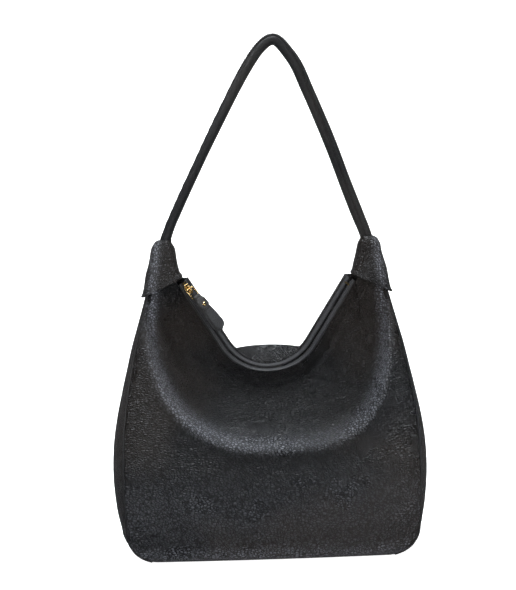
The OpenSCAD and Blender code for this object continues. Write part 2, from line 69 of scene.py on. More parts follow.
# ---------------------------------------------------------------- shape curves


def clamp01(t):
    return np.clip(t, 0.0, 1.0)


def ease(t):
    c = clamp01(t)
    return c * c * (3 - 2 * c)


def mix(a, b, t):
    return a + (b - a) * t


def smooth_curve(points):
    """Monotone cubic curve through [x, y] points, flat beyond both ends."""
    x = np.array([p[0] for p in points], float)
    y = np.array([p[1] for p in points], float)
    h = np.diff(x)
    slope = np.diff(y) / h
    tangent = np.zeros(len(x))
    for i in range(1, len(x) - 1):
        if slope[i - 1] * slope[i] > 0:
            w1 = 2 * h[i] + h[i - 1]
            w2 = h[i] + 2 * h[i - 1]
            tangent[i] = (w1 + w2) / (w1 / slope[i - 1] + w2 / slope[i])
    tangent[0] = slope[0]
    tangent[-1] = slope[-1]

    def value(at):
        at = np.clip(np.asarray(at, float), x[0], x[-1])
        i = np.clip(np.searchsorted(x, at, side="right") - 1, 0, len(x) - 2)
        t = (at - x[i]) / h[i]
        low = (1 + 2 * t) * (1 - t) ** 2 * y[i] + t * (1 - t) ** 2 * h[i] * tangent[i]
        high = t * t * (3 - 2 * t) * y[i + 1] + t * t * (t - 1) * h[i] * tangent[i + 1]
        return low + high

    return value


seam_half_w = smooth_curve([
    [0, 132], [6, 143], [15, 153], [31, 160], [90, 163], [140, 161.5], [183, 157],
    [210, 152], [233, 147.5], [255, 142], [280, 135.5], [300, 130.5], [330, 123],
])
seam_half_depth = smooth_curve([
    [0, 46], [8, 53.5], [25, 57.5], [60, 58.6], [100, 56.2], [140, 50], [200, 38], [250, 26], [280, 17],
    [300, 11.5], [330, 9],
])
gusset_swell = smooth_curve([
    [0, 0.1], [10, 0.35], [30, 0.7], [55, 0.92], [90, 1], [120, 0.93], [155, 0.7], [187, 0.5],
    [220, 0.4], [255, 0.3], [330, 0.1],
])
panel_swell = smooth_curve([
    [0, 0.3], [30, 0.7], [100, 1], [150, 0.8], [250, 0.35], [300, 0.15], [330, 0],
])
GUSSET_BULGE = 16
PANEL_BULGE = 9
LEATHER_T = 2.0
LINING_T = 0.8
LOW_EDGE_Z = 0.3
HORN_TOP_Z = 330
HORN_TOP_IN_X = 107

# Zip path
MOUTH_Z = 206.5
MOUTH_R = 58
SLOPE = math.radians(58)
TILT_SIDE = math.radians(42)
TILT_MID = math.radians(60)
ZIP_ARC_L = MOUTH_R * SLOPE
ZIP_HALF_L = ZIP_ARC_L + 84
FRONT_TAPE_W = 6
REAR_TAPE_W = 8.4
FRONT_EDGE_D = -6.7
REAR_EDGE_D = 8.8
MOUTH_SHARE = 0.72
FOOT_SHARE = 0.78
HORN_SHARE = 0.86
HORN_FOOT_X = 98.5


def stack(x, y, z):
    return np.stack(np.broadcast_arrays(x, y, z), axis=-1).astype(float)


def zip_axes(s):
    s = np.asarray(s, float)
    a = np.sign(s) * np.minimum(np.abs(s), ZIP_ARC_L) / MOUTH_R
    run = np.maximum(0, np.abs(s) - ZIP_ARC_L)
    x = MOUTH_R * np.sin(a) + np.sign(s) * run * math.cos(SLOPE)
    z = MOUTH_Z + MOUTH_R * (1 - np.cos(a)) + run * math.sin(SLOPE)
    tilt = mix(TILT_MID, TILT_SIDE, ease(np.abs(s) / ZIP_ARC_L))
    c = np.cos(tilt)
    n = np.sin(tilt)
    across = stack(-np.sin(a) * c, n, np.cos(a) * c)
    out = stack(-np.sin(a) * n, -c, np.cos(a) * n)
    return stack(x, 0, z), across, out


def zip_point(s, across, out):
    base, across_dir, out_dir = zip_axes(s)
    across = np.asarray(across, float)[..., None]
    out = np.asarray(out, float)[..., None]
    return base + across * across_dir + out * out_dir


def panel_top(s, edge_d):
    a = np.abs(s)
    mouth = zip_point(np.minimum(a / MOUTH_SHARE, 1) * ZIP_HALF_L, edge_d, 0)
    end = zip_point(ZIP_HALF_L, edge_d, 0)
    foot = np.array([max(end[0], HORN_FOOT_X), end[1], end[2]])
    horn = np.array([HORN_TOP_IN_X, 0, HORN_TOP_Z], float)
    corner = np.array([float(seam_half_w(HORN_TOP_Z)), 0, HORN_TOP_Z])
    step = clamp01((a - MOUTH_SHARE) / (FOOT_SHARE - MOUTH_SHARE))[..., None]
    up = clamp01((a - FOOT_SHARE) / (HORN_SHARE - FOOT_SHARE))[..., None]
    across = clamp01((a - HORN_SHARE) / (1 - HORN_SHARE))[..., None]
    top = np.where(step > 0, end + (foot - end) * step, mouth)
    top = np.where(up > 0, foot + (horn - foot) * up, top)
    top = np.where(across > 0, horn + (corner - horn) * across, top)
    top[..., 0] *= np.sign(s)
    return top


CHORD_Z = 228
CHORD_HALF_W = 62
CHORD_DEPTH = 21
CHORD_SHARPNESS = 3.5
LEAST_RISE = 0.8


def chord_rise(s):
    p = panel_top(s, REAR_EDGE_D)
    share = ease(CHORD_SHARPNESS * (1 - np.abs(p[..., 0]) / CHORD_HALF_W))
    return np.maximum(LEAST_RISE, (CHORD_Z - p[..., 2]) * share)


def chord_share(s):
    return clamp01(chord_rise(s) / (CHORD_Z - MOUTH_Z))


def back_top(s):
    top = panel_top(s, REAR_EDGE_D)
    top[..., 2] += chord_rise(s)
    return top


def outer_depth(x, z):
    across = np.minimum(1, np.abs(x) / seam_half_w(z))
    return seam_half_depth(z) + PANEL_BULGE * panel_swell(z) * (1 - across ** 2)


def panel_xz(s, v, top):
    z = mix(LOW_EDGE_Z, top[..., 2], v)
    x = seam_half_w(z) * mix(s, top[..., 0] / seam_half_w(top[..., 2]), v)
    return x, z


def top_depth(s, top, mouth_depth):
    t = clamp01((np.abs(s) - MOUTH_SHARE) / (HORN_SHARE - MOUTH_SHARE))
    return mix(mouth_depth, outer_depth(top[..., 0], top[..., 2]), t)


# The slumped fold: a U that runs down from the left sleeve and up to the right one. Its left
# side slants and its right side is squarer.
FOLD_CENTRE_Z = 270
FOLD_DROP = 143.5
FOLD_LEFT = (133.5, 2.35)
FOLD_RIGHT = (132, 3.0)


def fold_distance(x, z):
    half = np.where(x < 0, FOLD_LEFT[0], FOLD_RIGHT[0])
    power = np.where(x < 0, FOLD_LEFT[1], FOLD_RIGHT[1])
    across = (np.abs(x) / half) ** power
    down = (np.maximum(0, FOLD_CENTRE_Z - z) / FOLD_DROP) ** power
    return (across + down) ** (1 / power)


def fold_share(x, z, top):
    q_top = np.minimum(0.85, fold_distance(top[..., 0], top[..., 2]))
    return (1 - fold_distance(x, z)) / (1 - q_top)


def bump(distance, width):
    return np.exp(-((distance / width) ** 2))


def waves(a, b, seed):
    """Gentle uneven swell, about -1 to 1, from a few crossed sine waves."""
    rng = np.random.default_rng(seed)
    total = np.zeros(np.broadcast(a, b).shape)
    for k in range(6):
        turn = rng.uniform(0, math.pi)
        rate = rng.uniform(0.5, 1.6)
        phase = rng.uniform(0, 2 * math.pi)
        total = total + np.sin(rate * (a * math.cos(turn) + b * math.sin(turn)) + phase)
    return total / 3


# Distance in the front view from the mouth line, used for the folds beside it
MOUTH_LINE = zip_point(np.linspace(-ZIP_HALF_L, ZIP_HALF_L, 160), FRONT_EDGE_D, 0)


def mouth_distance(x, z):
    dx = x[..., None] - MOUTH_LINE[:, 0]
    dz = z[..., None] - MOUTH_LINE[:, 2]
    return np.sqrt((dx * dx + dz * dz).min(axis=-1))


# The front falls over a quarter of its depth on a rounded ledge just inside the fold, then more
# gently, and is fully in some way below the mouth so that the mouth's edge overhangs
LEDGE_SHARE = 0.28
LEDGE_RUN = 0.33
FULL_FALL = 0.84
# Heights and half widths of the soft ridges and hollows laid over it
CREST_RISE = 2.2
CREST_W = 8.0
RIDGE_RISE = 3.4
RIDGE_AWAY = 15
RIDGE_W = 4.5
HOLLOW_MID = 5.5
HOLLOW_SIDE = 3.5
HOLLOW_AWAY = 9.5
HOLLOW_W = 5.6
SAG = 1.1
LOW_SAG = 0.9


def front_surface(s, v):
    top = panel_top(s, FRONT_EDGE_D)
    x, z = panel_xz(s, v, top)
    share = fold_share(x, z, top)
    u = clamp01(share / FULL_FALL)
    fall = LEDGE_SHARE * ease(u / LEDGE_RUN) + (1 - LEDGE_SHARE) * u
    depth = mix(outer_depth(x, z), top_depth(s, top, -top[..., 1]), fall)
    inside = ease(share / 0.2) * (1 - ease((u - 0.75) / 0.25))
    crest = CREST_RISE * bump((fold_distance(x, z) - 1.01) * FOLD_DROP, CREST_W)
    crest = crest * (1 - ease((z - 275) / 30))
    away = mouth_distance(x, z)
    right = ease((x - 26) / 34)
    left = 0.45 * ease((-x - 30) / 34)
    beside = RIDGE_RISE * bump(away - RIDGE_AWAY, RIDGE_W) * (right + left)
    beside = beside * (1 - ease((z - 285) / 15))
    hollow = mix(HOLLOW_MID, HOLLOW_SIDE, ease((np.abs(x) - 40) / 30))
    under = -hollow * bump(away - HOLLOW_AWAY, HOLLOW_W) * (1 - ease((z - 280) / 20))
    sag = SAG * waves(x / 34, z / 26, 3) * inside
    low = LOW_SAG * waves(x / 46, z / 30, 8) * ease((110 - z) / 60) * ease(z / 30)
    depth = depth + crest + beside + under + sag + low
    return stack(x, -depth, z)


BACK_FALL_SOFT = 0.25
TAPE_CLEAR = 2.2
BACK_CREST_RISE = 1.4
BACK_CREST_W = 14
BACK_SAG = 1.4


def back_fall(u):
    soft = BACK_FALL_SOFT
    return (np.sqrt(u * u + soft * soft) - soft) / (math.sqrt(1 + soft * soft) - soft)


def back_surface(s, v):
    top = back_top(s)
    x, z = panel_xz(s, v, top)
    share = fold_share(x, z, top)
    lip = top[..., 1] + CHORD_DEPTH * chord_share(s)
    depth = mix(outer_depth(x, z), top_depth(s, top, lip), back_fall(clamp01(share)))
    lean = 1 - clamp01((np.abs(s) - MOUTH_SHARE) / (HORN_SHARE - MOUTH_SHARE))
    clear = TAPE_CLEAR * lean * ease((v - 0.8) / 0.2)
    crest = BACK_CREST_RISE * bump((fold_distance(x, z) - 1.0) * FOLD_DROP, BACK_CREST_W)
    crest = crest * (1 - ease((z - 250) / 40))
    sag = BACK_SAG * waves(x / 40, z / 30, 5) * ease(v / 0.12) * (1 - ease((v - 0.85) / 0.15))
    return stack(x, depth + clear + crest + sag, z)


GUSSET_GAP = 0.4
SEAM_GROOVE = 1.9
SEAM_GROOVE_W = 2.6
PUCKER = 0.7
GUSSET_SAG = 1.2


def gusset_surface(w, z):
    half = seam_half_depth(z) - GUSSET_GAP
    edge = (1 - np.abs(w)) * half
    x = seam_half_w(z) + GUSSET_BULGE * gusset_swell(z) * (1 - w ** 2)
    groove = -SEAM_GROOVE * bump(edge, SEAM_GROOVE_W) * ease((310 - z) / 20)
    pucker = PUCKER * bump(edge - 5, 5) * np.sin(z / 3.1 + 2 * np.sin(z / 17))
    sag = GUSSET_SAG * waves(w * 2.2, z / 26, 11) * (1 - w ** 2)
    return stack(x + groove + pucker + sag * ease(z / 20), w * half, z)


# ---------------------------------------------------------------- mesh helpers

def new_object(name, points, faces, material, smooth=True):
    mesh = bpy.data.meshes.new(name)
    mesh.from_pydata((np.asarray(points, float) * MM).tolist(), [], faces)
    mesh.validate()
    mesh.polygons.foreach_set("use_smooth", [smooth] * len(mesh.polygons))
    mesh.materials.append(material)
    obj = bpy.data.objects.new(name, mesh)
    bpy.context.scene.collection.objects.link(obj)
    return obj


def grid_faces(rows, cols, offset=0, flip=False, wrap=False):
    """Quads of a grid with rows x cols points; wrap joins the last column to the first."""
    r = np.arange(rows - 1)[:, None]
    c = np.arange(cols if wrap else cols - 1)[None, :]
    d = (c + 1) % cols
    a = r * cols + c
    b = r * cols + d
    quads = np.stack([a, b, b + cols, a + cols], axis=-1).reshape(-1, 4) + offset
    if flip:
        quads = quads[:, ::-1]
    return quads.tolist()


def capped(rows, cols):
    """Faces of a stack of rings with a cap at each end."""
    faces = grid_faces(rows, cols, wrap=True)
    faces.append(list(range(cols))[::-1])
    faces.append([(rows - 1) * cols + c for c in range(cols)])
    return faces


def looped(rows, cols, flip=False):
    """Faces of a stack of rings whose last ring joins its first."""
    faces = grid_faces(rows, cols, flip=flip, wrap=True)
    last = (rows - 1) * cols
    joined = [[last + c, last + (c + 1) % cols, (c + 1) % cols, c] for c in range(cols)]
    return faces + ([f[::-1] for f in joined] if flip else joined)


def ring_solid(name, rings, material):
    grid = np.asarray(rings, float)
    return new_object(name, grid.reshape(-1, 3), capped(*grid.shape[:2]), material)


def normals_of(grid):
    du = np.gradient(grid, axis=1)
    dv = np.gradient(grid, axis=0)
    n = np.cross(du, dv)
    return n / np.maximum(1e-9, np.linalg.norm(n, axis=-1, keepdims=True))


def border_faces(rows, cols):
    """Quads between the borders of two grids that follow each other in the point list."""
    n = rows * cols
    loop = [c for c in range(cols)]
    loop += [r * cols + cols - 1 for r in range(1, rows)]
    loop += [(rows - 1) * cols + c for c in range(cols - 2, -1, -1)]
    loop += [r * cols for r in range(rows - 2, 0, -1)]
    return [[b, a, a + n, b + n] for a, b in zip(loop, loop[1:] + loop[:1])]


def sheet_solid(name, outer, inner, material):
    """Closed solid between two grids; outer's normal, columns x rows, points outwards."""
    rows, cols = outer.shape[:2]
    points = np.concatenate([outer.reshape(-1, 3), inner.reshape(-1, 3)])
    faces = grid_faces(rows, cols)
    faces += grid_faces(rows, cols, offset=rows * cols, flip=True)
    faces += border_faces(rows, cols)
    return new_object(name, points, faces, material)


def path_frames(path, closed=False):
    """Unit tangent and two unit sides at each point of a path, turned as little as possible."""
    path = np.asarray(path, float)
    if closed:
        t = np.roll(path, -1, axis=0) - np.roll(path, 1, axis=0)
    else:
        t = np.gradient(path, axis=0)
    t = t / np.linalg.norm(t, axis=1, keepdims=True)
    side = np.zeros_like(t)
    start = np.cross(t[0], [0.0, 1.0, 0.02])
    side[0] = start / np.linalg.norm(start)
    for i in range(1, len(t)):
        turned = side[i - 1] - t[i] * np.dot(side[i - 1], t[i])
        side[i] = turned / np.linalg.norm(turned)
    return t, side, np.cross(t, side)


def tube(name, path, radius, material, sides=12, closed=False, flat=1.0):
    """Round cord along a path, with rounded ends where it is open."""
    path = np.asarray(path, float)
    t, a, b = path_frames(path, closed)
    radii = np.broadcast_to(np.asarray(radius, float), (len(path),)).copy()
    turn = np.linspace(0, 2 * math.pi, sides, endpoint=False)
    if not closed:
        cap = np.array([0.0, 0.55, 0.87])
        first = [path[0] - t[0] * radii[0] * x for x in (1.0, 0.83, 0.5)]
        last = [path[-1] + t[-1] * radii[-1] * x for x in (0.5, 0.83, 1.0)]
        path = np.concatenate([first, path, last])
        a = np.concatenate([[a[0]] * 3, a, [a[-1]] * 3])
        b = np.concatenate([[b[0]] * 3, b, [b[-1]] * 3])
        small = np.maximum(0.04, cap)
        radii = np.concatenate([radii[0] * small, radii, radii[-1] * small[::-1]])
    ring = (
        a[:, None, :] * np.cos(turn)[None, :, None]
        + flat * b[:, None, :] * np.sin(turn)[None, :, None]
    )
    points = path[:, None, :] + radii[:, None, None] * ring
    faces = looped(len(path), sides) if closed else capped(len(path), sides)
    return new_object(name, points.reshape(-1, 3), faces, material)


def join_as(name, objects):
    """Joins meshes into one object."""
    points = []
    faces = []
    count = 0
    material = objects[0].data.materials[0]
    for obj in objects:
        co = np.zeros(len(obj.data.vertices) * 3)
        obj.data.vertices.foreach_get("co", co)
        points.append(co.reshape(-1, 3) / MM)
        faces += [[v + count for v in p.vertices] for p in obj.data.polygons]
        count += len(obj.data.vertices)
        bpy.data.objects.remove(obj)
    return new_object(name, np.concatenate(points), faces, material)


def stitches(name, path, pitch, length, radius, material):
    """A row of short threads that dip into the leather at both ends."""
    path = np.asarray(path, float)
    steps = np.linalg.norm(np.diff(path, axis=0), axis=1)
    along = np.concatenate([[0], np.cumsum(steps)])
    threads = []
    count = int((along[-1] - length) / pitch)
    for k in range(count + 1):
        at = k * pitch + np.linspace(0, length, 5)
        line = np.stack([np.interp(at, along, path[:, i]) for i in range(3)], axis=1)
        threads.append(tube(f"{name}_{k}", line, [radius * 0.5, radius, radius, radius,
                                                 radius * 0.5], material, sides=6))
    return join_as(name, threads)


def outline_solid(name, outline, low, high, material, place, edge=0.4):
    """Plate with rounded rims from a closed outline of [x, y] points, set by place()."""
    outline = np.asarray(outline, float)
    n = len(outline)
    centre = outline.mean(axis=0)
    ahead = np.roll(outline, -1, axis=0) - np.roll(outline, 1, axis=0)
    side = np.stack([ahead[:, 1], -ahead[:, 0]], axis=1)
    side = side / np.linalg.norm(side, axis=1, keepdims=True)
    levels = []
    for turn in (0, 30, 60, 90):
        a = math.radians(turn)
        levels.append((edge * (1 - math.sin(a)), low + edge * (1 - math.cos(a))))
    for turn in (90, 60, 30, 0):
        a = math.radians(turn)
        levels.append((edge * (1 - math.sin(a)), high - edge * (1 - math.cos(a))))
    rows = []
    for inset, z in levels:
        ring = outline - side * inset
        rows.append(np.column_stack([ring, np.full(n, z)]))
    for share in (0.6, 0.25):
        inner = centre + (outline - side * edge - centre) * share
        rows.insert(0, np.column_stack([inner, np.full(n, low)]))
        rows.append(np.column_stack([inner, np.full(n, high)]))
    return ring_solid(name, place(np.array(rows)), material)


def arc(cx, cy, r, start, end, steps):
    a = np.radians(np.linspace(start, end, steps))
    return [[cx + r * math.cos(t), cy + r * math.sin(t)] for t in a]


def slump(grid, growth, cap, frames=18):
    """Cloth simulation of a sheet held round its border. Returns how far each point moves.

    growth is the share by which the sheet is too large, and cap the most a point may move.
    """
    rows, cols = grid.shape[:2]
    step_r = max(1, rows // 56)
    step_c = max(1, cols // 72)
    rr = np.unique(np.append(np.arange(0, rows, step_r), rows - 1))
    cc = np.unique(np.append(np.arange(0, cols, step_c), cols - 1))
    coarse = grid[np.ix_(rr, cc)]
    cloth_obj = new_object("slump_trial", coarse.reshape(-1, 3),
                           grid_faces(len(rr), len(cc)), black_leather)
    group = cloth_obj.vertex_groups.new(name="held")
    for i in range(len(rr)):
        for j in range(len(cc)):
            rim = min(i, j, len(rr) - 1 - i, len(cc) - 1 - j)
            if rim < 2:
                group.add([i * len(cc) + j], 1.0 if rim == 0 else 0.6, "REPLACE")
    modifier = cloth_obj.modifiers.new("slump", "CLOTH")
    cloth = modifier.settings
    cloth.quality = 6
    cloth.mass = 0.6
    cloth.tension_stiffness = 25
    cloth.compression_stiffness = 25
    cloth.shear_stiffness = 12
    cloth.bending_stiffness = 14
    cloth.air_damping = 6
    cloth.vertex_group_mass = "held"
    cloth.shrink_min = -growth
    cloth.shrink_max = -growth
    modifier.collision_settings.use_collision = False
    modifier.collision_settings.use_self_collision = False
    modifier.point_cache.frame_start = 1
    modifier.point_cache.frame_end = frames
    scene = bpy.context.scene
    for f in range(1, frames + 1):
        scene.frame_set(f)
    shaped = cloth_obj.evaluated_get(bpy.context.evaluated_depsgraph_get())
    co = np.zeros(len(coarse.reshape(-1, 3)) * 3)
    shaped.data.vertices.foreach_get("co", co)
    moved = co.reshape(coarse.shape) / MM - coarse
    bpy.data.objects.remove(cloth_obj)
    scene.frame_set(1)
    size = np.linalg.norm(moved, axis=-1, keepdims=True)
    moved = moved * cap / np.maximum(cap, size)
    along_r = np.stack([[np.interp(np.arange(rows), rr, moved[:, j, k])
                         for j in range(len(cc))] for k in range(3)], axis=-1)
    fine = np.stack([[np.interp(np.arange(cols), cc, along_r[:, i, k])
                      for i in range(rows)] for k in range(3)], axis=-1)
    return fine


# ---------------------------------------------------------------- materials


def shader(name):
    material = bpy.data.materials.new(name)
    material.use_nodes = True
    tree = material.node_tree
    return material, tree, tree.nodes["Principled BSDF"]


def add(tree, kind, **values):
    made_node = tree.nodes.new(kind)
    for key, value in values.items():
        if key in made_node.inputs:
            made_node.inputs[key].default_value = value
        else:
            setattr(made_node, key, value)
    return made_node


def ramp(tree, source, low, high, low_value=0.0, high_value=1.0):
    """Maps source from low..high onto low_value..high_value, smoothly and clamped."""
    r = add(tree, "ShaderNodeMapRange", interpolation_type="SMOOTHSTEP")
    r.inputs["From Min"].default_value = low
    r.inputs["From Max"].default_value = high
    r.inputs["To Min"].default_value = low_value
    r.inputs["To Max"].default_value = high_value
    tree.links.new(source, r.inputs["Value"])
    return r.outputs["Result"]


def blend_colours(tree, factor, first, second):
    m = add(tree, "ShaderNodeMix", data_type="RGBA")
    tree.links.new(factor, m.inputs["Factor"])
    for slot_index, colour in ((6, first), (7, second)):
        if isinstance(colour, tuple):
            m.inputs[slot_index].default_value = (*colour, 1)
        else:
            tree.links.new(colour, m.inputs[slot_index])
    return m.outputs[2]


def scaled_coordinates(tree, scale):
    where = add(tree, "ShaderNodeTexCoord")
    stretch = add(tree, "ShaderNodeMapping", Scale=scale)
    tree.links.new(where.outputs["Object"], stretch.inputs["Vector"])
    return stretch.outputs["Vector"]


def noise(tree, vector, scale, detail=3.0, roughness=0.5):
    n = add(tree, "ShaderNodeTexNoise", Scale=scale, Detail=detail, Roughness=roughness)
    tree.links.new(vector, n.inputs["Vector"])
    return n.outputs["Fac"]


def bump_chain(tree, bsdf, layers):
    """Stacks bumps, each (height, strength, distance in metres), onto the shader's normal."""
    last = None
    for height, strength, distance in layers:
        b = add(tree, "ShaderNodeBump", Strength=strength, Distance=distance)
        tree.links.new(height, b.inputs["Height"])
        if last is not None:
            tree.links.new(last, b.inputs["Normal"])
        last = b.outputs["Normal"]
    tree.links.new(last, bsdf.inputs["Normal"])


def pebbled_leather(name, dark, light, warm, pebble, stretch, rough, depth, gloss,
                    highlight_colour=None):
    """Tumbled leather: rounded pebbles with creases between them, worn lighter on top.

    The last argument paints a highlight colour onto the pebbles' tops where the mesh's highlight value
    is 1.
    """
    material, tree, bsdf = shader(name)
    vector = scaled_coordinates(tree, stretch)
    wander = add(tree, "ShaderNodeTexNoise", Scale=pebble * 0.35, Detail=2.0)
    tree.links.new(vector, wander.inputs["Vector"])
    shift = add(tree, "ShaderNodeVectorMath", operation="MULTIPLY_ADD")
    tree.links.new(wander.outputs["Color"], shift.inputs[0])
    shift.inputs[1].default_value = (0.0016, 0.0016, 0.0016)
    tree.links.new(vector, shift.inputs[2])
    cells = add(tree, "ShaderNodeTexVoronoi", Scale=pebble, feature="DISTANCE_TO_EDGE")
    tree.links.new(shift.outputs[0], cells.inputs["Vector"])
    domes = ramp(tree, cells.outputs["Distance"], 0.0, 0.32)
    small = add(tree, "ShaderNodeTexVoronoi", Scale=pebble * 2.1, feature="DISTANCE_TO_EDGE")
    tree.links.new(shift.outputs[0], small.inputs["Vector"])
    fine_domes = ramp(tree, small.outputs["Distance"], 0.0, 0.35)
    pores = noise(tree, vector, pebble * 4.0, 2.0)
    cloudy = noise(tree, vector, 16.0, 2.0, 0.5)
    patches = noise(tree, vector, 7.0, 2.0)
    tone = blend_colours(tree, ramp(tree, domes, 0.1, 0.95), dark, light)
    tint = blend_colours(tree, ramp(tree, patches, 0.42, 0.62), tone, warm)
    # Painted highlight: the given colour on the pebbles' tops, as strong as the mesh's
    # painted-highlight value
    if highlight_colour:
        highlight_paint = add(tree, "ShaderNodeAttribute", attribute_name="highlight_paint")
        highlight_on_tops = add(tree, "ShaderNodeMath", operation="MULTIPLY")
        tree.links.new(highlight_paint.outputs["Fac"], highlight_on_tops.inputs[0])
        tree.links.new(ramp(tree, domes, 0.15, 1.0, 0.12, 1.0), highlight_on_tops.inputs[1])
        tint = blend_colours(tree, highlight_on_tops.outputs[0], tint, highlight_colour)
    tree.links.new(tint, bsdf.inputs["Base Color"])
    tree.links.new(ramp(tree, cloudy, 0.3, 0.7, rough - 0.05, rough + 0.07),
                   bsdf.inputs["Roughness"])
    bsdf.inputs["Specular IOR Level"].default_value = gloss
    bsdf.inputs["Sheen Weight"].default_value = 0.01
    bsdf.inputs["Sheen Roughness"].default_value = 0.4
    bump_chain(tree, bsdf, [
        (cloudy, 0.12, 0.001),
        (domes, 1.0, depth),
        (fine_domes, 0.5, depth * 0.35),
        (pores, 0.25, 0.00008),
    ])
    return material


def woven(name, colour, pale, thread, rough):
    """Plain weave, from two crossed wave patterns."""
    material, tree, bsdf = shader(name)
    vector = scaled_coordinates(tree, (1.0, 1.0, 1.0))
    bands = []
    for direction in ("X", "Z"):
        wave = add(tree, "ShaderNodeTexWave", Scale=thread, Distortion=0.6)
        wave.bands_direction = direction
        wave.inputs["Detail"].default_value = 1.0
        tree.links.new(vector, wave.inputs["Vector"])
        bands.append(wave.outputs["Fac"])
    cross = add(tree, "ShaderNodeMath", operation="MAXIMUM")
    tree.links.new(bands[0], cross.inputs[0])
    tree.links.new(bands[1], cross.inputs[1])
    fluff = noise(tree, vector, 900.0, 3.0)
    tone = blend_colours(tree, cross.outputs[0], colour, pale)
    tree.links.new(tone, bsdf.inputs["Base Color"])
    tree.links.new(ramp(tree, fluff, 0.3, 0.7, rough - 0.06, rough + 0.06),
                   bsdf.inputs["Roughness"])
    bsdf.inputs["Sheen Weight"].default_value = 0.15
    bump_chain(tree, bsdf, [(cross.outputs[0], 0.6, 0.00015), (fluff, 0.3, 0.0001)])
    return material


def plated_metal(name, colour, worn):
    material, tree, bsdf = shader(name)
    vector = scaled_coordinates(tree, (1.0, 1.0, 1.0))
    scratches = noise(tree, scaled_coordinates(tree, (1.0, 0.15, 1.0)), 2600.0, 3.0)
    patches = noise(tree, vector, 160.0, 3.0)
    tone = blend_colours(tree, ramp(tree, patches, 0.45, 0.7), colour, worn)
    tree.links.new(tone, bsdf.inputs["Base Color"])
    bsdf.inputs["Metallic"].default_value = 1.0
    tree.links.new(ramp(tree, patches, 0.3, 0.75, 0.16, 0.3), bsdf.inputs["Roughness"])
    bump_chain(tree, bsdf, [(scratches, 0.12, 0.00003)])
    return material


def moulded(name, colour, pale, rough, grain_scale, depth):
    """Nylon, rubber, thread and board: a mottled tone with a fine grain."""
    material, tree, bsdf = shader(name)
    vector = scaled_coordinates(tree, (1.0, 1.0, 1.0))
    grain = noise(tree, vector, grain_scale, 3.0)
    patches = noise(tree, vector, grain_scale * 0.08, 2.0)
    tree.links.new(blend_colours(tree, patches, colour, pale), bsdf.inputs["Base Color"])
    tree.links.new(ramp(tree, grain, 0.3, 0.7, rough - 0.06, rough + 0.06),
                   bsdf.inputs["Roughness"])
    bump_chain(tree, bsdf, [(grain, 0.4, depth)])
    return material


DYE_DARK = (0.0015, 0.0015, 0.0018)
# Pale blue-grey painted highlight, laid on the fold's crest and up the sleeves' fronts
PAINTED_HIGHLIGHT = (0.14, 0.146, 0.166)
body_grain = {
    "dark": DYE_DARK, "light": (0.0052, 0.0053, 0.006), "warm": (0.0085, 0.0064, 0.0052),
    "pebble": 330.0, "stretch": (0.85, 1.0, 1.2), "rough": 0.3, "depth": 0.0011,
}
black_leather = pebbled_leather("black_leather", gloss=0.5, **body_grain)
# Front panel leather that carries the painted highlight along its fold
highlight_painted_leather = pebbled_leather("highlight_painted_leather", gloss=0.42, highlight_colour=PAINTED_HIGHLIGHT, **body_grain)
# The sleeves carry the painted highlight too
sleeve_leather = pebbled_leather(
    "sleeve_leather", DYE_DARK, (0.0055, 0.0056, 0.0064), (0.0085, 0.0066, 0.0056),
    pebble=370.0, stretch=(1.0, 1.0, 0.9), rough=0.33, depth=0.0008, gloss=0.36,
    highlight_colour=PAINTED_HIGHLIGHT,
)
handle_leather = pebbled_leather(
    "handle_leather", (0.002, 0.002, 0.0024), (0.007, 0.0072, 0.0085), (0.009, 0.0078, 0.007),
    pebble=680.0, stretch=(1.0, 1.0, 1.0), rough=0.38, depth=0.0002, gloss=0.5,
)
edge_leather = pebbled_leather(
    "edge_leather", (0.003, 0.003, 0.0035), (0.009, 0.0092, 0.0105), (0.009, 0.0082, 0.0078),
    pebble=800.0, stretch=(1.0, 1.0, 1.0), rough=0.36, depth=0.00012, gloss=0.55,
)
pull_leather = pebbled_leather(
    "pull_leather", (0.009, 0.009, 0.0105), (0.02, 0.021, 0.024), (0.02, 0.0185, 0.0175),
    pebble=640.0, stretch=(1.0, 1.0, 1.0), rough=0.4, depth=0.00022, gloss=0.5,
)
thread_mat = moulded("thread", (0.012, 0.012, 0.014), (0.03, 0.03, 0.034), 0.5, 2400.0, 0.00008)
tape_mat = woven("zip_tape", (0.006, 0.006, 0.007), (0.02, 0.02, 0.023), 520.0, 0.78)
lining_mat = woven("lining_cloth", (0.2, 0.17, 0.145), (0.33, 0.29, 0.25), 420.0, 0.85)
coil_mat = moulded("zip_coil", (0.01, 0.01, 0.011), (0.022, 0.022, 0.024), 0.42, 1800.0, 0.00004)
gold_mat = plated_metal("gold_metal", (0.83, 0.62, 0.3), (0.72, 0.5, 0.23))
board_mat = moulded("stiff_board", (0.34, 0.34, 0.33), (0.42, 0.42, 0.41), 0.8, 700.0, 0.0001)
core_mat = moulded("handle_core", (0.09, 0.09, 0.09), (0.14, 0.14, 0.14), 0.7, 900.0, 0.0001)

# ---------------------------------------------------------------- leather shell

COLS = 216
ROWS = 150
CURL = 0.9
SEAM_TOP_Z = 304


def finer_at_ends(n):
    c = np.linspace(-1, 1, n + 1)
    return c * (1 + 0.3 * (1 - c * c))


s_grid, v_grid = np.meshgrid(finer_at_ends(COLS), np.linspace(0, 1, ROWS + 1))
front = front_surface(s_grid, v_grid)
front = front + slump(front, 0.004, 1.6)
back = back_surface(-s_grid, v_grid)
back = back + slump(back, 0.006, 2.4)


def edge_curl(grid, side, amount):
    """Turns both seam edges of a panel inwards, towards the gussets."""
    gap_to_edge = seam_half_w(grid[..., 2]) - np.abs(grid[..., 0])
    grid = grid.copy()
    grid[..., 1] += side * amount * bump(gap_to_edge, 1.8)
    return grid


front = edge_curl(front, 1, CURL)
back = edge_curl(back, -1, CURL)


def inner_of(grid, thickness):
    return grid - normals_of(grid) * thickness




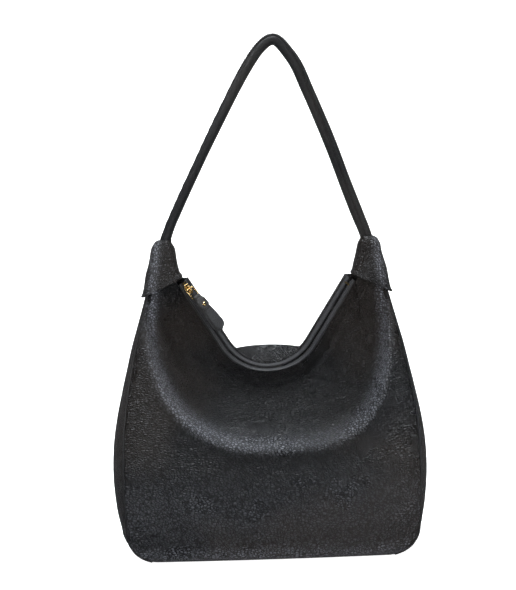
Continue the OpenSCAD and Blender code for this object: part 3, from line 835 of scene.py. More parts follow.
def paint_highlight_values(obj, outer_share):
    """Stores a painted-highlight value for each point of the sheet's outer side; the mesh's other
    points get none.
    """
    values = np.clip(outer_share, 0, 1).reshape(-1)
    rest = len(obj.data.vertices) - len(values)
    values = np.concatenate([values, np.zeros(rest)])
    highlight_paint = obj.data.attributes.new("highlight_paint", "FLOAT", "POINT")
    highlight_paint.data.foreach_set("value", values.astype(np.float32))


def fold_highlight_paint(grid):
    """Painted highlight along the slumped fold's crest, most on the left, and up both horns."""
    x = grid[..., 0]
    z = grid[..., 2]
    on_fold = bump((fold_distance(x, z) - 0.975) * FOLD_DROP, 6.5)
    on_horn = bump(np.abs(x) - mix(127.5, 124, clamp01((z - 270) / 60)), 5.5)
    highlight_band = mix(on_fold, on_horn, ease((z - 245) / 40))
    side = mix(mix(0.6, 1.0, ease(-x / 60)), 0.66, ease(x / 60))
    # Painted reflection of the floor: lighter low on the front panel, most near its bottom edge
    low = 0.2 * bump(z - 55, 45) + 0.4 * bump(z - 6, 12)
    return highlight_band * side * (1 + 0.15 * waves(x / 20, z / 20, 41)) + low


front_panel = sheet_solid("front_leather", front, inner_of(front, LEATHER_T), highlight_painted_leather)
# Painted highlight along the front panel's fold, and a painted floor reflection low on it
paint_highlight_values(front_panel, fold_highlight_paint(front))
back_panel = sheet_solid("back_leather", back, inner_of(back, LEATHER_T), black_leather)

w_grid, z_grid = np.meshgrid(finer_at_ends(56), np.linspace(LOW_EDGE_Z, HORN_TOP_Z, 151))
right_side = gusset_surface(w_grid, z_grid)
right_side = right_side + slump(right_side, 0.006, 1.5)
left_side = right_side[:, ::-1] * np.array([-1, 1, 1])
right_gusset = sheet_solid("right_gusset_leather", right_side, inner_of(right_side, LEATHER_T),
                           black_leather)
left_gusset = sheet_solid("left_gusset_leather", left_side, inner_of(left_side, LEATHER_T),
                          black_leather)

SEAM_ROLL_R = 1.25


def seam_rolls(name, side):
    """Turned edges where a panel meets the two gussets, from under the base to the sleeves."""
    z = np.linspace(1.5, SEAM_TOP_Z, 260)
    rolls = []
    for end in (-1, 1):
        x = end * (seam_half_w(z) + 0.1)
        y = side * (seam_half_depth(z) - 0.5)
        wander = 0.25 * np.sin(z / 9 + end)
        rolls.append(tube(f"{name}_{end}", stack(x, y + wander, z), SEAM_ROLL_R, edge_leather,
                          sides=10))
    return join_as(name, rolls)


front_rolls = seam_rolls("front_seam_rolls", -1)
back_rolls = seam_rolls("back_seam_rolls", 1)


def superellipse(u, half_x, half_y, power):
    c = np.cos(u)
    n = np.sin(u)
    return (half_x * np.sign(c) * np.abs(c) ** power, half_y * np.sign(n) * np.abs(n) ** power)


BASE_HALF_W = 131.8
BASE_HALF_D = 44.2
BASE_POWER = 0.42


def base_shape():
    """Base panel: a flat sheet with rounded corners, its rim turned up into the panels."""
    u = np.linspace(0, 2 * math.pi, 240, endpoint=False)
    rings = []
    for inset, z in ((0.0, 3.4), (0.0, 1.6), (0.5, 0.5), (1.6, 0.05), (4.0, 0.05), (5.0, 0.45),
                     (6.0, 0.05), (20.0, 0.02), (40.0, 0.02)):
        x, y = superellipse(u, BASE_HALF_W - inset, BASE_HALF_D - inset, BASE_POWER)
        rings.append(stack(x, y, z))
    for inset, z in ((40.0, 2.0), (6.0, 2.0), (2.2, 2.4), (1.6, 3.4)):
        x, y = superellipse(u, BASE_HALF_W - inset, BASE_HALF_D - inset, BASE_POWER)
        rings.append(stack(x, y, z))
    grid = np.array(rings)[:, ::-1]
    rows, cols = grid.shape[:2]
    faces = looped(rows, cols)
    under = list(range(8 * cols, 9 * cols))
    over = list(range(9 * cols, 10 * cols))
    faces = [f for f in faces if not (f[0] // cols == 8 and f[2] // cols == 9)]
    faces.append(under)
    faces.append(over[::-1])
    return new_object("base_leather", grid.reshape(-1, 3), faces, black_leather)


base_panel = base_shape()

# ---------------------------------------------------------------- mouth and zip


def strip(name, s, profile, material):
    """Strip along the mouth: profile(s) gives a closed ring of [across, out] per step."""
    rows = [zip_point(np.full(len(ring), at), [p[0] for p in ring], [p[1] for p in ring])
            for at, ring in ((at, profile(at)) for at in s)]
    return ring_solid(name, rows, material)


def rounded_ring(cx, cy, half_w, half_h, power, sides):
    u = np.linspace(0, 2 * math.pi, sides, endpoint=False)
    x, y = superellipse(u, half_w, half_h, power)
    return [[cx + a, cy + b] for a, b in zip(x, y)]


ZIP_S = np.linspace(-ZIP_HALF_L, ZIP_HALF_L, 420)


BEAD_ACROSS = -6.8
BEAD_OUT = 1.1


def front_bead_ring(s):
    wander = 0.12 * math.sin(s / 6.5) + 0.08 * math.sin(s / 2.7)
    return rounded_ring(BEAD_ACROSS + wander, BEAD_OUT, 1.2, 0.8, 0.8, 14)


mouth_bead = strip("front_mouth_bead", ZIP_S, front_bead_ring, edge_leather)


def tape_ring(near, far, wave):
    def ring(s):
        lift = wave * math.sin(s / 11) + 0.5 * wave * math.sin(s / 4.3)
        shares = np.linspace(0, 1, 7)
        upper = [[mix(near, far, t), 0.3 + lift * t] for t in shares]
        lower = [[mix(near, far, t), -0.3 + lift * t] for t in shares[::-1]]
        return upper + lower
    return ring


front_tape = strip("front_woven_tape", ZIP_S, tape_ring(-2.3, -FRONT_TAPE_W, 0.05), tape_mat)
rear_tape = strip("rear_woven_tape", ZIP_S, tape_ring(2.3, REAR_TAPE_W, 0.14), tape_mat)


COIL_PITCH = 1.35
WIRE_R = 0.29


def coil_turns(name, side):
    """Nylon filament wound round the tape's edge."""
    turns = (2 * ZIP_HALF_L - 4) / COIL_PITCH
    steps = int(turns * 12)
    s = np.linspace(-ZIP_HALF_L + 2, ZIP_HALF_L - 2, steps)
    a = np.linspace(0, 2 * math.pi * turns, steps)
    across = side * (1.62 - 0.78 * np.cos(a))
    out = 0.62 * np.sin(a)
    return tube(name, zip_point(s, across, out), WIRE_R, coil_mat, sides=6)


front_coil = coil_turns("front_coil_turns", -1)
rear_coil = coil_turns("rear_coil_turns", 1)


def facing_shape():
    """Turned top of the back panel, from the rear tape up to the straight chord."""
    cols = 220
    c = np.linspace(-1, 1, cols)
    s = ZIP_HALF_L * c
    low = zip_point(s, np.full(cols, 7.0), np.full(cols, 0.55))
    top_s = MOUTH_SHARE * c
    high = back_top(top_s)
    high[:, 1] += CHORD_DEPTH * chord_share(top_s) + 1.1
    high[:, 2] += 0.5
    base, across, out = zip_axes(s)
    share = chord_share(top_s)[:, None]
    rows = []
    for t in np.linspace(0, 1, 12):
        crown = 1.9 * math.sin(math.pi * t) * share
        row = mix(low, high, t) + out * (0.5 + crown)
        row = row + out * (0.35 * waves(c * 9, 3 * t + c, 21) * math.sin(math.pi * t))[:, None]
        rows.append(row)
    for t in np.linspace(1, 0, 6):
        crown = 1.9 * math.sin(math.pi * t) * share
        rows.append(mix(low, high, t) + out * (crown - 0.5))
    grid = np.array(rows)
    count = len(rows)
    faces = grid_faces(count, cols)
    last = (count - 1) * cols
    faces += [[last + i, last + i + 1, i + 1, i] for i in range(cols - 1)]
    faces.append([r * cols for r in range(count)])
    faces.append([r * cols + cols - 1 for r in range(count)][::-1])
    return new_object("back_mouth_leather", grid.reshape(-1, 3), faces, black_leather)


back_facing = facing_shape()

# Stitch rows: below the front bead, along the back facing and up both sides of it
stitch_s = np.linspace(-ZIP_HALF_L + 4, ZIP_HALF_L - 4, 500)


def on_front(s_zip, down):
    """Point on the front panel just below the mouth, down mm outwards from the bead."""
    s = MOUTH_SHARE * s_zip / ZIP_HALF_L
    top = panel_top(s, FRONT_EDGE_D)
    v = 1 - down / (top[..., 2] - LOW_EDGE_Z)
    point = front_surface(s, v)
    return point + np.array([0, -0.25, 0.1])


STITCH_PITCH = 3.4
front_stitches = stitches("front_mouth_stitches", on_front(stitch_s, 5.0), STITCH_PITCH, 2.4, 0.24,
                          thread_mat)
rear_stitches = stitches(
    "rear_mouth_stitches",
    zip_point(stitch_s, np.full(500, 8.9), np.full(500, 1.5)),
    STITCH_PITCH, 2.4, 0.22, thread_mat,
)

# ---------------------------------------------------------------- sleeves

SLEEVE_Z = [301, 318, 332, 344, 350]
sleeve_in = smooth_curve(list(zip(SLEEVE_Z, (94, 96.5, 99.8, 102.2, 105))))
sleeve_out = smooth_curve(list(zip(SLEEVE_Z, (139.6, 133, 129, 126.6, 123.6))))
sleeve_deep = smooth_curve(list(zip(SLEEVE_Z, (20, 16, 13.4, 11.8, 10))))
SLEEVE_POWER = 0.62
SLEEVE_T = 1.7
# The lower edge slants: higher on the inner side, lower on the outer one
SLANT_IN = 10
SLANT_OUT = -11
FOLD_LEAN = 0.12
# Hole in the top for the handle
HOLE_X = 111.4
HOLE_R = 7.0
HOLE_Z = 352.4


def sleeve_surface(seed, fold_x):
    """Outer skin of the right sleeve, from its slanted lower edge to the hole in its top."""
    rows = 64
    sides = 120
    u = np.linspace(0, 2 * math.pi, sides, endpoint=False)[::-1]
    rings = []
    for r in range(rows):
        t = r / (rows - 1)
        z = mix(SLEEVE_Z[0], SLEEVE_Z[-1], t)
        along = t * (SLEEVE_Z[-1] - SLEEVE_Z[0])
        mid = 0.5 * (sleeve_in(z) + sleeve_out(z))
        half = 0.5 * (sleeve_out(z) - sleeve_in(z))
        x, y = superellipse(u, half, sleeve_deep(z), SLEEVE_POWER)
        slant = mix(SLANT_IN, SLANT_OUT, (1 + x / half) / 2) * (1 - ease(t / 0.35))
        ring = stack(mid + x, y, z + slant)
        lap = 0.55 * bump(along - 1.0, 1.5) - 0.35 * bump(along - 4.0, 1.6)
        folds = 0.7 * waves(u * 2.1, z / 9, seed) * ease(t / 0.2) * (1 - ease((t - 0.85) / 0.15))
        front_face = (np.sin(u) < -0.2) * 1.0
        from_fold = ring[:, 0] - fold_x - FOLD_LEAN * along
        line = -0.9 * bump(from_fold, 1.3) * front_face
        ridge = 0.6 * bump(from_fold - 2.6, 1.6) * front_face
        crease = -0.8 * bump(z - 338 - 0.4 * (ring[:, 0] - 114), 1.4) * front_face
        crease = crease * bump(ring[:, 0] - 114, 8) * (seed % 2)
        centre = np.array([float(mid), 0.0, 0.0])
        outward = (ring - centre) * np.array([1, 1, 0])
        outward = outward / np.linalg.norm(outward, axis=1, keepdims=True)
        ring = ring + outward * (lap + folds + (line + ridge) * (1 - t * t) + crease)[:, None]
        rings.append(ring)
    last = rings[-1]
    for t in np.linspace(0.15, 1, 9):
        hole = stack(HOLE_X + HOLE_R * np.cos(u), HOLE_R * np.sin(u), HOLE_Z)
        ring = mix(last, hole, t)
        ring[:, 2] = mix(SLEEVE_Z[-1], HOLE_Z, math.sin(t * math.pi / 2))
        rings.append(ring)
    return np.array(rings)


def sleeve_solid(name, outer, mirrored):
    sides = outer.shape[1]
    du = np.roll(outer, -1, axis=1) - np.roll(outer, 1, axis=1)
    dv = np.gradient(outer, axis=0)
    n = np.cross(dv, du)
    n = n / np.maximum(1e-9, np.linalg.norm(n, axis=-1, keepdims=True))
    inner = outer - n * SLEEVE_T
    grid = np.concatenate([outer, inner[::-1]])
    if mirrored:
        grid = grid * np.array([-1, 1, 1])
    faces = looped(len(grid), sides, flip=not mirrored)
    return new_object(name, grid.reshape(-1, 3), faces, sleeve_leather)


right_skin = sleeve_surface(7, 101.5)
left_skin = sleeve_surface(4, 99.0)
right_sleeve = sleeve_solid("right_sleeve_leather", right_skin, False)
left_sleeve = sleeve_solid("left_sleeve_leather", left_skin, True)


def sleeve_highlight_paint(skin, strength):
    """Painted highlight band up the front of a sleeve, in line with the fold below it."""
    x = skin[..., 0]
    z = skin[..., 2]
    facing_front = ease(-skin[..., 1] / 6)
    highlight_band = bump(x - mix(127.5, 120.5, clamp01((z - 300) / 50)), 4.6)
    return strength * highlight_band * facing_front * (1 + 0.2 * waves(x / 9, z / 9, 43))


# Painted highlight up the front of each sleeve, stronger on the left
paint_highlight_values(right_sleeve, sleeve_highlight_paint(right_skin, 0.6))
paint_highlight_values(left_sleeve, sleeve_highlight_paint(left_skin, 0.8))


SLEEVE_CENTRE = np.array([112.5, 0, 0])


def sleeve_stitches(name, skin, mirrored):
    ring = mix(skin[5], skin[6], 0.5)
    ring = np.concatenate([ring, ring[:2]])
    ring = (ring - SLEEVE_CENTRE) * [1.012, 1.02, 1] + SLEEVE_CENTRE
    if mirrored:
        ring = ring * np.array([-1, 1, 1])
    return stitches(name, ring, STITCH_PITCH, 2.3, 0.25, thread_mat)


right_sleeve_stitches = sleeve_stitches("right_sleeve_stitches", right_skin, False)
left_sleeve_stitches = sleeve_stitches("left_sleeve_stitches", left_skin, True)

# ---------------------------------------------------------------- handle

HANDLE_D = 12.6
HANDLE_R = 6.2
SEAM_LEFT = 158
SEAM_RIGHT = 84
CORE_R = 3.6
HANDLE_TOP_Z = 577
FOLD_Z = 372
HANDLE_RISE = HANDLE_TOP_Z - HANDLE_D / 2 - FOLD_Z
HANDLE_ROUTE = [
    [-103.5, 0], [-86.8, 0.177], [-64.9, 0.4], [-42, 0.622], [-30.6, 0.733], [-18, 0.845],
    [-4, 0.945], [12, 1], [27, 0.925], [37.6, 0.845], [47, 0.733], [56.3, 0.622],
    [74.2, 0.4], [90.3, 0.177], [103.5, 0],
]
HANDLE_END = [[115, 312], [115, 322], [114.8, 332], [113.8, 342], [111.6, 351], [109.2, 357.4],
              [107.4, 363]]


def catmull(points, steps):
    p = np.array([points[0]] + list(points) + [points[-1]], float)
    out = []
    for i in range(1, len(p) - 2):
        a, b, c, d = p[i - 1], p[i], p[i + 1], p[i + 2]
        for t in np.arange(steps) / steps:
            out.append(0.5 * (2 * b + (c - a) * t + (2 * a - 5 * b + 4 * c - d) * t * t
                              + (3 * b - a - 3 * c + d) * t ** 3))
    out.append(p[-2])
    return np.array(out)


handle_points = [[-x, z] for x, z in HANDLE_END]
handle_points += [[x, FOLD_Z + HANDLE_RISE * h] for x, h in HANDLE_ROUTE]
handle_points += [[x, z] for x, z in HANDLE_END[::-1]]
route = catmull(handle_points, 12)
# Even steps along the route, smoothed a little so that the arms don't wobble
length = np.concatenate([[0], np.cumsum(np.linalg.norm(np.diff(route, axis=0), axis=1))])
even = np.linspace(0, length[-1], 420)
route = np.stack([np.interp(even, length, route[:, i]) for i in range(2)], axis=1)
for _ in range(24):
    route[1:-1] = 0.5 * route[1:-1] + 0.25 * (route[:-2] + route[2:])
handle_line = stack(route[:, 0], 0, route[:, 1])
handle_t = np.linspace(0, 1, len(handle_line))


def handle_frames():
    t = np.gradient(handle_line, axis=0)
    t = t / np.linalg.norm(t, axis=1, keepdims=True)
    side = np.stack([t[:, 2], np.zeros(len(t)), -t[:, 0]], axis=1)
    return t, side


def handle_tube():
    """Rolled strap: its sewn edge winds slowly round, from the outside left to the front."""
    t, side = handle_frames()
    sides = 72
    turn = np.linspace(0, 2 * math.pi, sides, endpoint=False)
    seam = np.radians(mix(SEAM_LEFT, SEAM_RIGHT, ease((handle_t - 0.3) / 0.45)))
    in_plane = mix(5.2, 6.9, ease((handle_t - 0.2) / 0.45))
    deep = mix(6.8, 5.4, ease((handle_t - 0.2) / 0.45))
    at_ends = ease(np.minimum(handle_t, 1 - handle_t) / 0.12)
    in_plane = mix(HANDLE_R, in_plane, at_ends)
    deep = mix(HANDLE_R, deep, at_ends)
    away = turn[None, :] - seam[:, None]
    away = (away + math.pi) % (2 * math.pi) - math.pi
    arc_mm = away * HANDLE_R
    lap = 0.75 * bump(arc_mm - 1.3, 0.95) - 1.15 * bump(arc_mm, 0.75)
    second = -0.35 * bump(arc_mm - 4.6, 0.7)
    along = handle_t[:, None] * length[-1]
    dents = 0.16 * np.sin(along / 2.1 + 1.5 * np.sin(along / 13)) * bump(arc_mm - 2, 3.5)
    slack = 0.22 * waves(turn[None, :] * 1.5, along / 16, 31)
    r = lap + second + dents + slack
    cos = np.cos(turn)[None, :]
    sin = np.sin(turn)[None, :]
    ring = (
        side[:, None, :] * ((in_plane[:, None] + r) * cos)[..., None]
        + np.array([0, -1, 0]) * ((deep[:, None] + r) * sin)[..., None]
    )
    points = handle_line[:, None, :] + ring
    obj = ring_solid("handle_leather", points, handle_leather)
    k = np.arange(len(handle_line))
    stitch_turn = seam + 3.3 / HANDLE_R
    at = (
        side * ((in_plane + 0.12) * np.cos(stitch_turn))[:, None]
        + np.array([0, -1, 0]) * ((deep + 0.12) * np.sin(stitch_turn))[:, None]
    )
    inside = (k > 34) & (k < len(k) - 34)
    return obj, (handle_line + at)[inside]


handle_cover, handle_seam = handle_tube()
handle_stitches = stitches("handle_stitches", handle_seam, 3.1, 2.1, 0.24, thread_mat)
handle_core = tube("handle_cord", handle_line[6:-6], CORE_R, core_mat, sides=20)

# ---------------------------------------------------------------- slider, link and pull

SLIDER_RUN = 74
BAR_Z = 3.9
PULL_LIFT = math.radians(10)
LINK_L = 12
LINK_W = 11


def zip_frame(run):
    """Corner and axes of the left straight stretch: along its opening way, across, out."""
    s = -(ZIP_ARC_L + run)
    base, across, out = zip_axes(s)
    along = np.array([math.cos(SLOPE), 0, -math.sin(SLOPE)])
    return base, along, across, out


slider_base, along_dir, across_dir, out_dir = zip_frame(SLIDER_RUN)


def on_zip(points):
    p = np.asarray(points, float)
    return (slider_base + p[..., :1] * along_dir + p[..., 1:2] * across_dir
            + p[..., 2:3] * out_dir)


def on_puller(points):
    p = np.array(points, float)
    x = p[..., 0].copy()
    z = p[..., 2].copy()
    p[..., 0] = x * math.cos(PULL_LIFT) - z * math.sin(PULL_LIFT)
    p[..., 2] = x * math.sin(PULL_LIFT) + z * math.cos(PULL_LIFT) + BAR_Z
    return on_zip(p)


slider_outline = (
    arc(-4.6, -2.6, 1.4, 180, 270, 6) + arc(2.2, -3.0, 1.2, 270, 300, 4)
    + arc(4.6, -1.9, 1.4, 290, 360, 6) + arc(4.6, 1.9, 1.4, 0, 70, 6)
    + arc(2.2, 3.0, 1.2, 60, 90, 4) + arc(-4.6, 2.6, 1.4, 90, 180, 6)
)
slider_top = outline_solid("slider_top_plate", slider_outline, 1.35, 2.5, gold_mat, on_zip)
slider_low = outline_solid("slider_low_plate", slider_outline, -2.5, -1.35, gold_mat, on_zip)
slider_post = outline_solid(
    "slider_post", arc(-4.1, 0, 0.35, 0, 360, 13)[:-1], -1.5, 1.5, gold_mat, on_zip, edge=0.08)
flanges = []
for flange_side in (-1, 1):
    line = [[-4.6, flange_side * 3.75, 1.35], [-1, flange_side * 3.85, 1.15],
            [2.4, flange_side * 3.85, 1.15], [4.8, flange_side * 2.9, 1.35]]
    flanges.append(tube(f"slider_flange_{flange_side}", on_zip(line), 0.42, gold_mat, sides=10))
slider_plates = join_as("slider_plates", [slider_top, slider_low, slider_post] + flanges)
bridge_line = [[-3.3, 0, 2.3], [-3.3, 0, 4.4]] + [
    [x, 0, z] for x, z in arc(-2.0, 4.4, 1.3, 170, 95, 5)
] + [[x, 0, z] for x, z in arc(2.0, 4.4, 1.3, 85, 10, 5)] + [[3.3, 0, 4.4], [3.3, 0, 2.3]]
slider_bridge = tube("slider_bridge_loop", on_zip(bridge_line), 0.62, gold_mat, sides=14,
                     flat=1.5)

half_link = LINK_W / 2
link_corner = 1.8
link_line = (
    arc(link_corner, -half_link + link_corner, link_corner, 180, 270, 7)
    + arc(LINK_L - link_corner, -half_link + link_corner, link_corner, 270, 360, 7)
    + arc(LINK_L - link_corner, half_link - link_corner, link_corner, 0, 90, 7)
    + arc(link_corner, half_link - link_corner, link_corner, 90, 180, 7)
)
link_3d = on_puller([[x, y, 0] for x, y in link_line])
puller_link = tube("pull_ring", link_3d, 0.75, gold_mat, sides=14, closed=True)

PULL_L = 46
NECK_W = 9


def on_strap(points):
    """Pull leather sags a little towards its tip."""
    p = np.array(points, float)
    p[..., 2] -= 0.0007 * p[..., 0] ** 2 - 0.02 * np.abs(p[..., 1])
    p[..., 0] += LINK_L
    return on_puller(p)


def strap_outline(tip, width, shift, neck):
    end_r = width / 2
    low = arc(tip - end_r, shift, end_r, -78, 78, 15)
    sides_low = [[t, shift * ease(t / 20) - mix(neck / 2, width / 2, ease(t / (tip - end_r)))]
                 for t in np.linspace(2.2, tip - end_r - 1, 16)]
    sides_high = [[t, shift * ease(t / 20) + mix(neck / 2, width / 2, ease(t / (tip - end_r)))]
                  for t in np.linspace(tip - end_r - 1, 2.2, 16)]
    return sides_low + low + sides_high


strap_low = outline_solid("pull_back_layer", strap_outline(PULL_L, 15.6, -0.9, NECK_W),
                          -1.7, -0.15, pull_leather, on_strap, edge=0.35)
strap_high = outline_solid("pull_front_layer", strap_outline(PULL_L - 1.4, 14.6, 0.9, NECK_W),
                           0.05, 1.6, pull_leather, on_strap, edge=0.4)
FLAP = [[2.4, -4.5], [6, -6.4], [13.4, -6.5], [17, -2.9], [17, 2.9], [13.4, 6.5], [6, 6.4],
        [2.4, 4.5]]
flap_points = []
for corner in range(len(FLAP)):
    here = np.array(FLAP[corner])
    before = np.array(FLAP[corner - 1])
    after = np.array(FLAP[(corner + 1) % len(FLAP)])
    for weight in (0.16, 0.06, 0.0):
        flap_points.append((here + (before - here) * weight).tolist())
    for weight in (0.06, 0.16):
        flap_points.append((here + (after - here) * weight).tolist())
flap = outline_solid("pull_flap", flap_points, 1.75, 3.15, pull_leather, on_strap, edge=0.4)
loop_line = [[x, 0, z] for x, z in arc(0.4, 0.15, 1.75, 75, 285, 15)]
loop_line = [[3.2, 0, 1.9]] + loop_line + [[3.2, 0, -1.3]]


def leather_loop():
    """Strap turned round the ring's bar."""
    line = np.array(loop_line)
    widths = np.linspace(-NECK_W / 2, NECK_W / 2, 9)
    t = np.gradient(line, axis=0)
    t = t / np.linalg.norm(t, axis=1, keepdims=True)
    normal = np.stack([-t[:, 2], np.zeros(len(t)), t[:, 0]], axis=1)
    rows = []
    for shift in (0.75, -0.75):
        grid = []
        for p, n in zip(line, normal):
            grid.append([[p[0] + n[0] * shift, y, p[2] + n[2] * shift] for y in widths])
        rows.append(np.array(grid))
    outer = on_puller(rows[1] + np.array([LINK_L, 0, 0]))
    inner = on_puller(rows[0] + np.array([LINK_L, 0, 0]))
    return sheet_solid("pull_loop", outer, inner, pull_leather)


pull_loop = leather_loop()
pull_parts = join_as("pull_leather", [strap_low, strap_high, flap, pull_loop])
edge_line = strap_outline(PULL_L - 3.6, 10.8, 0.9, NECK_W - 2.4)
pull_stitch_line = on_strap([[x, y, 1.72] for x, y in edge_line[4:-4]])
pull_stitches = stitches("pull_stitches", pull_stitch_line, 2.9, 2.0, 0.2, thread_mat)


RIVET_X = 11.5
RIVET_R = 2.6


def dome(name, centre_x, low, radius, rise, place):
    """Rivet head: a thin rim that rolls into a dome."""
    u = np.linspace(0, 2 * math.pi, 40, endpoint=False)
    levels = [(0.2, low), (radius * 0.9, low), (radius, low + 0.15), (radius, low + 0.35),
              (radius * 0.93, low + 0.5)]
    for a in np.radians(np.linspace(12, 86, 8)):
        levels.append((radius * 0.9 * math.cos(a), low + 0.45 + rise * math.sin(a)))
    rings = [stack(centre_x + r * np.cos(u), r * np.sin(u), z) for r, z in levels]
    return ring_solid(name, place(np.array(rings)), gold_mat)


rivet_head = dome("rivet_head", RIVET_X, 3.05, RIVET_R, 1.25, on_strap)
rivet_cap = dome("rivet_cap", RIVET_X, 1.75, RIVET_R, 0.3, lambda p: on_strap(p * [1, 1, -1]))
rivet = join_as("pull_rivet_dome", [rivet_head, rivet_cap])

# ---------------------------------------------------------------- lining and pocket

LINING_INSET = 3.3


def lining(name, grid, keep_rows, keep_cols, inset=LINING_INSET, looseness=0.9):
    """Loose cloth behind a leather panel, with shallow folds."""
    inner = grid - normals_of(grid) * inset
    part = inner[keep_rows[0]:keep_rows[1]:3, keep_cols[0]:keep_cols[1]:3]
    away = normals_of(part)
    rows, cols = part.shape[:2]
    c, r = np.meshgrid(np.linspace(0, 12, cols), np.linspace(0, 9, rows))
    rim = np.minimum(np.minimum(c, 12 - c), np.minimum(r, 9 - r))
    folds = looseness * (1 + waves(c * 2, r * 2, 17)) * ease(rim)
    part = part - away * folds[..., None]
    return sheet_solid(name, part, part - away * LINING_T, lining_mat)


front_lining = lining("front_lining_cloth", front, (3, 136), (5, COLS - 4))
back_lining = lining("back_lining_cloth", back, (3, 136), (5, COLS - 4), 2.5, 0.2)
right_lining = lining("right_lining_cloth", right_side, (4, 128), (7, 50))
left_lining = lining("left_lining_cloth", left_side, (4, 128), (7, 50))


FLOOR_HALF_W = 126.5
FLOOR_HALF_D = 35.5


def floor_lining():
    u = np.linspace(0, 2 * math.pi, 160, endpoint=False)
    rings = []
    for share in (0.15, 0.4, 0.7, 0.92, 1.0):
        x, y = superellipse(u, FLOOR_HALF_W * share, FLOOR_HALF_D * share, BASE_POWER)
        rings.append(stack(x, y, 5.5 + 0.25 * waves(u * 3, share * 9, 2)))
    for share in (1.0, 0.92, 0.7, 0.4, 0.15):
        x, y = superellipse(u, FLOOR_HALF_W * share, FLOOR_HALF_D * share, BASE_POWER)
        rings.append(stack(x, y, 4.75))
    return ring_solid("base_lining_cloth", rings, lining_mat)


base_lining = floor_lining()


POCKET_HALF_W = 75
POCKET_Y = -51.6


def pocket_shape():
    """Open slip pocket: a patch of cloth with a hem, sewn flat on three sides."""
    x = np.linspace(-POCKET_HALF_W, POCKET_HALF_W, 60)
    z = np.linspace(20, 110, 40)
    gx, gz = np.meshgrid(x, z)
    side = 1 - (gx / POCKET_HALF_W) ** 2
    gape = 2.2 * side * ease((gz - 60) / 50)
    hem = 0.3 * bump(gz - 107, 2.5)
    y = POCKET_Y + gape + hem + 0.35 * waves(gx / 14, gz / 14, 9) * side
    outer = stack(gx, y - 0.4, gz)
    inner = stack(gx, y + 0.4, gz)
    return sheet_solid("slip_pocket_cloth", outer, inner, lining_mat)


slip_pocket = pocket_shape()

# ---------------------------------------------------------------- frame bookkeeping

for obj, nodes, slot_name in (
    (front_panel, ("front_panel",), "black_leather"),
    (back_panel, ("back_panel",), "black_leather"),
    (left_gusset, ("left_gusset",), "black_leather"),
    (right_gusset, ("right_gusset",), "black_leather"),
    (base_panel, ("base_panel",), "black_leather"),
    (front_rolls, (), "edge_leather"),
    (back_rolls, (), "edge_leather"),
    (mouth_bead, ("front_mouth_edge",), "edge_leather"),
    (back_facing, ("back_mouth_facing",), "black_leather"),
    (front_tape, ("front_zip_tape",), "zip_tape"),
    (rear_tape, ("rear_zip_tape",), "zip_tape"),
    (front_coil, ("front_zip_coil",), "zip_coil"),
    (rear_coil, ("rear_zip_coil",), "zip_coil"),
    (front_stitches, (), "black_leather"),
    (rear_stitches, (), "black_leather"),
    (left_sleeve, ("left_sleeve",), "black_leather"),
    (right_sleeve, ("right_sleeve",), "black_leather"),
    (left_sleeve_stitches, (), "black_leather"),
    (right_sleeve_stitches, (), "black_leather"),
    (front_lining, ("front_lining",), "lining_cloth"),
    (back_lining, ("back_lining",), "lining_cloth"),
    (left_lining, ("left_lining",), "lining_cloth"),
    (right_lining, ("right_lining",), "lining_cloth"),
    (base_lining, ("base_lining",), "lining_cloth"),
    (slip_pocket, ("slip_pocket",), "lining_cloth"),
):
    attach(obj, "bag")
    if nodes:
        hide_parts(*nodes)

for obj, nodes, slot_name, body in (
    (slider_plates, ("slider_body",), "gold_metal", "zip_slider"),
    (slider_bridge, ("slider_bridge",), "gold_metal", "zip_slider"),
    (puller_link, ("puller_link",), "gold_metal", "zip_puller"),
    (pull_parts, ("leather_pull",), "edge_leather", "pull_tab"),
    (pull_stitches, (), "edge_leather", "pull_tab"),
    (rivet, ("pull_rivet",), "gold_metal", "pull_tab"),
):
    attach(obj, body)
    if nodes:
        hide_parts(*nodes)

for obj, nodes, slot_name in (
    (handle_cover, ("handle_cover", "left_handle_end", "right_handle_end"), "black_leather"),
    (handle_stitches, (), "black_leather"),
    (handle_core, ("handle_core",), "handle_core"),
):
    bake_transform(obj)
    if nodes:
        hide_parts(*nodes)

for node_name, material in (
    ("zip_top_stop", gold_mat), ("zip_end_stop", gold_mat), ("base_board", board_mat),
    ("pocket_zip_tape", tape_mat), ("pocket_zip_coil", coil_mat), ("pocket_slider", gold_mat),
):
    node_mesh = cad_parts[node_name].data
    node_mesh.materials.clear()
    node_mesh.materials.append(material)

# ---------------------------------------------------------------- studio

scene = bpy.context.scene
scene.view_settings.view_transform = "Standard"

floor_mat, floor_tree, floor_bsdf = shader("studio_floor")
floor_vector = scaled_coordinates(floor_tree, (1.0, 1.0, 1.0))
floor_tone = blend_colours(floor_tree, noise(floor_tree, floor_vector, 3.0),
                           (0.9, 0.9, 0.9), (0.93, 0.93, 0.93))
floor_tree.links.new(floor_tone, floor_bsdf.inputs["Base Color"])
floor_tree.links.new(floor_tone, floor_bsdf.inputs["Emission Color"])
floor_bsdf.inputs["Emission Strength"].default_value = 0.85
floor_bsdf.inputs["Roughness"].default_value = 0.9
floor_bsdf.inputs["Specular IOR Level"].default_value = 0.1


def bowl_shape():
    """Pale round floor that curves up into a wall well away from the bag, on every side."""
    profile = [[1, 0], [900, 0]] + arc(2100, 900, 900, -90, 0, 14) + [[3000, 2600]]
    turn = np.linspace(0, 2 * math.pi, 64, endpoint=False)
    rings = [stack(r * np.cos(turn), r * np.sin(turn), z - 0.4) for r, z in profile]
    grid = np.array(rings)
    faces = grid_faces(len(profile), 64, wrap=True)
    faces.append(list(range(64))[::-1])
    return new_object("studio_floor", grid.reshape(-1, 3), faces, floor_mat)


floor = bowl_shape()
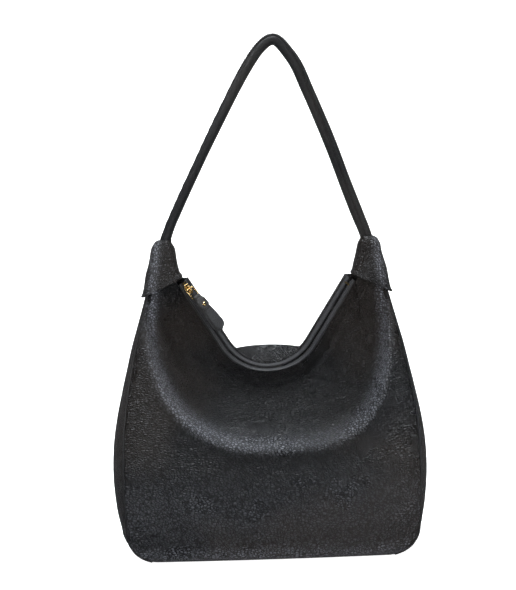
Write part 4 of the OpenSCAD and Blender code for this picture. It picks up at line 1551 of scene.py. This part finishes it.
# The bag reflects the studio's lights and its dark surroundings, not the lit floor
floor.visible_glossy = False
floor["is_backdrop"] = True

world = bpy.data.worlds.new("studio")
scene.world = world
world.use_nodes = True
sky_tree = world.node_tree
background = sky_tree.nodes["Background"]
where = sky_tree.nodes.new("ShaderNodeTexCoord")
parts = sky_tree.nodes.new("ShaderNodeSeparateXYZ")
sky_tree.links.new(where.outputs["Generated"], parts.inputs[0])
behind = ramp(sky_tree, parts.outputs["Y"], -0.1, 0.75)
sky = blend_colours(sky_tree, behind, (0.03, 0.031, 0.035), (0.12, 0.12, 0.125))
sky_tree.links.new(sky, background.inputs["Color"])
background.inputs["Strength"].default_value = 1.0


def soft_light(name, at, aim, width, height, watts, colour):
    data = bpy.data.lights.new(name, "AREA")
    data.shape = "RECTANGLE"
    data.size = width
    data.size_y = height
    data.energy = watts
    data.color = colour
    obj = bpy.data.objects.new(name, data)
    obj.location = at
    way = Vector(aim) - Vector(at)
    obj.rotation_euler = way.to_track_quat("-Z", "Y").to_euler()
    scene.collection.objects.link(obj)
    return obj


# The steep inner side of the slumped fold catches the light from above and from both sides,
# while the flat front faces the dark part of the studio
soft_light("overhead", (-0.05, 0.12, 1.6), (0, 0, 0.15), 1.3, 0.55, 32, (0.9, 0.95, 1.0))
soft_light("left_strip", (-1.5, -0.75, 0.4), (0, 0, 0.2), 0.3, 0.9, 3, (0.9, 0.95, 1.0))
soft_light("right_strip", (1.5, -0.75, 0.4), (0, 0, 0.2), 0.3, 0.9, 4, (0.9, 0.95, 1.0))
soft_light("front_band", (-0.1, -1.8, 1.0), (0, 0, 0.25), 0.7, 0.25, 8, (0.95, 0.97, 1.0))
soft_light("low_fill", (0.2, -2.0, 0.0), (0, 0, 0.1), 1.2, 0.3, 5.0, (1.0, 1.0, 1.0))

ELEVATION = math.radians(7)
DISTANCE = 1.6
VIEW_HEIGHT = 0.657
AZIMUTH = math.radians(-2.5)
AIM = Vector((-0.0102, 0.0, 0.2887))
ROLL = math.radians(1.1)
camera_data = bpy.data.cameras.new("camera")
camera_data.sensor_width = 36
camera_data.lens = 36 * DISTANCE / VIEW_HEIGHT
camera_data.clip_end = 50
camera = bpy.data.objects.new("camera", camera_data)
camera.location = AIM + DISTANCE * Vector((
    math.sin(AZIMUTH) * math.cos(ELEVATION),
    -math.cos(AZIMUTH) * math.cos(ELEVATION),
    math.sin(ELEVATION),
))
facing = (AIM - camera.location).to_track_quat("-Z", "Y").to_matrix().to_4x4()
camera.rotation_euler = facing.to_euler()
scene.collection.objects.link(camera)
scene.camera = camera
camera.rotation_euler.rotate_axis("Z", -ROLL)

visual_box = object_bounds()


def plain(value):
    """Numbers of a bounds result as plain nested lists."""
    if hasattr(value, "__len__"):
        return [plain(v) for v in value]
    return float(value)


{"cad_box": plain(cad_box), "visual_box": plain(visual_box)}
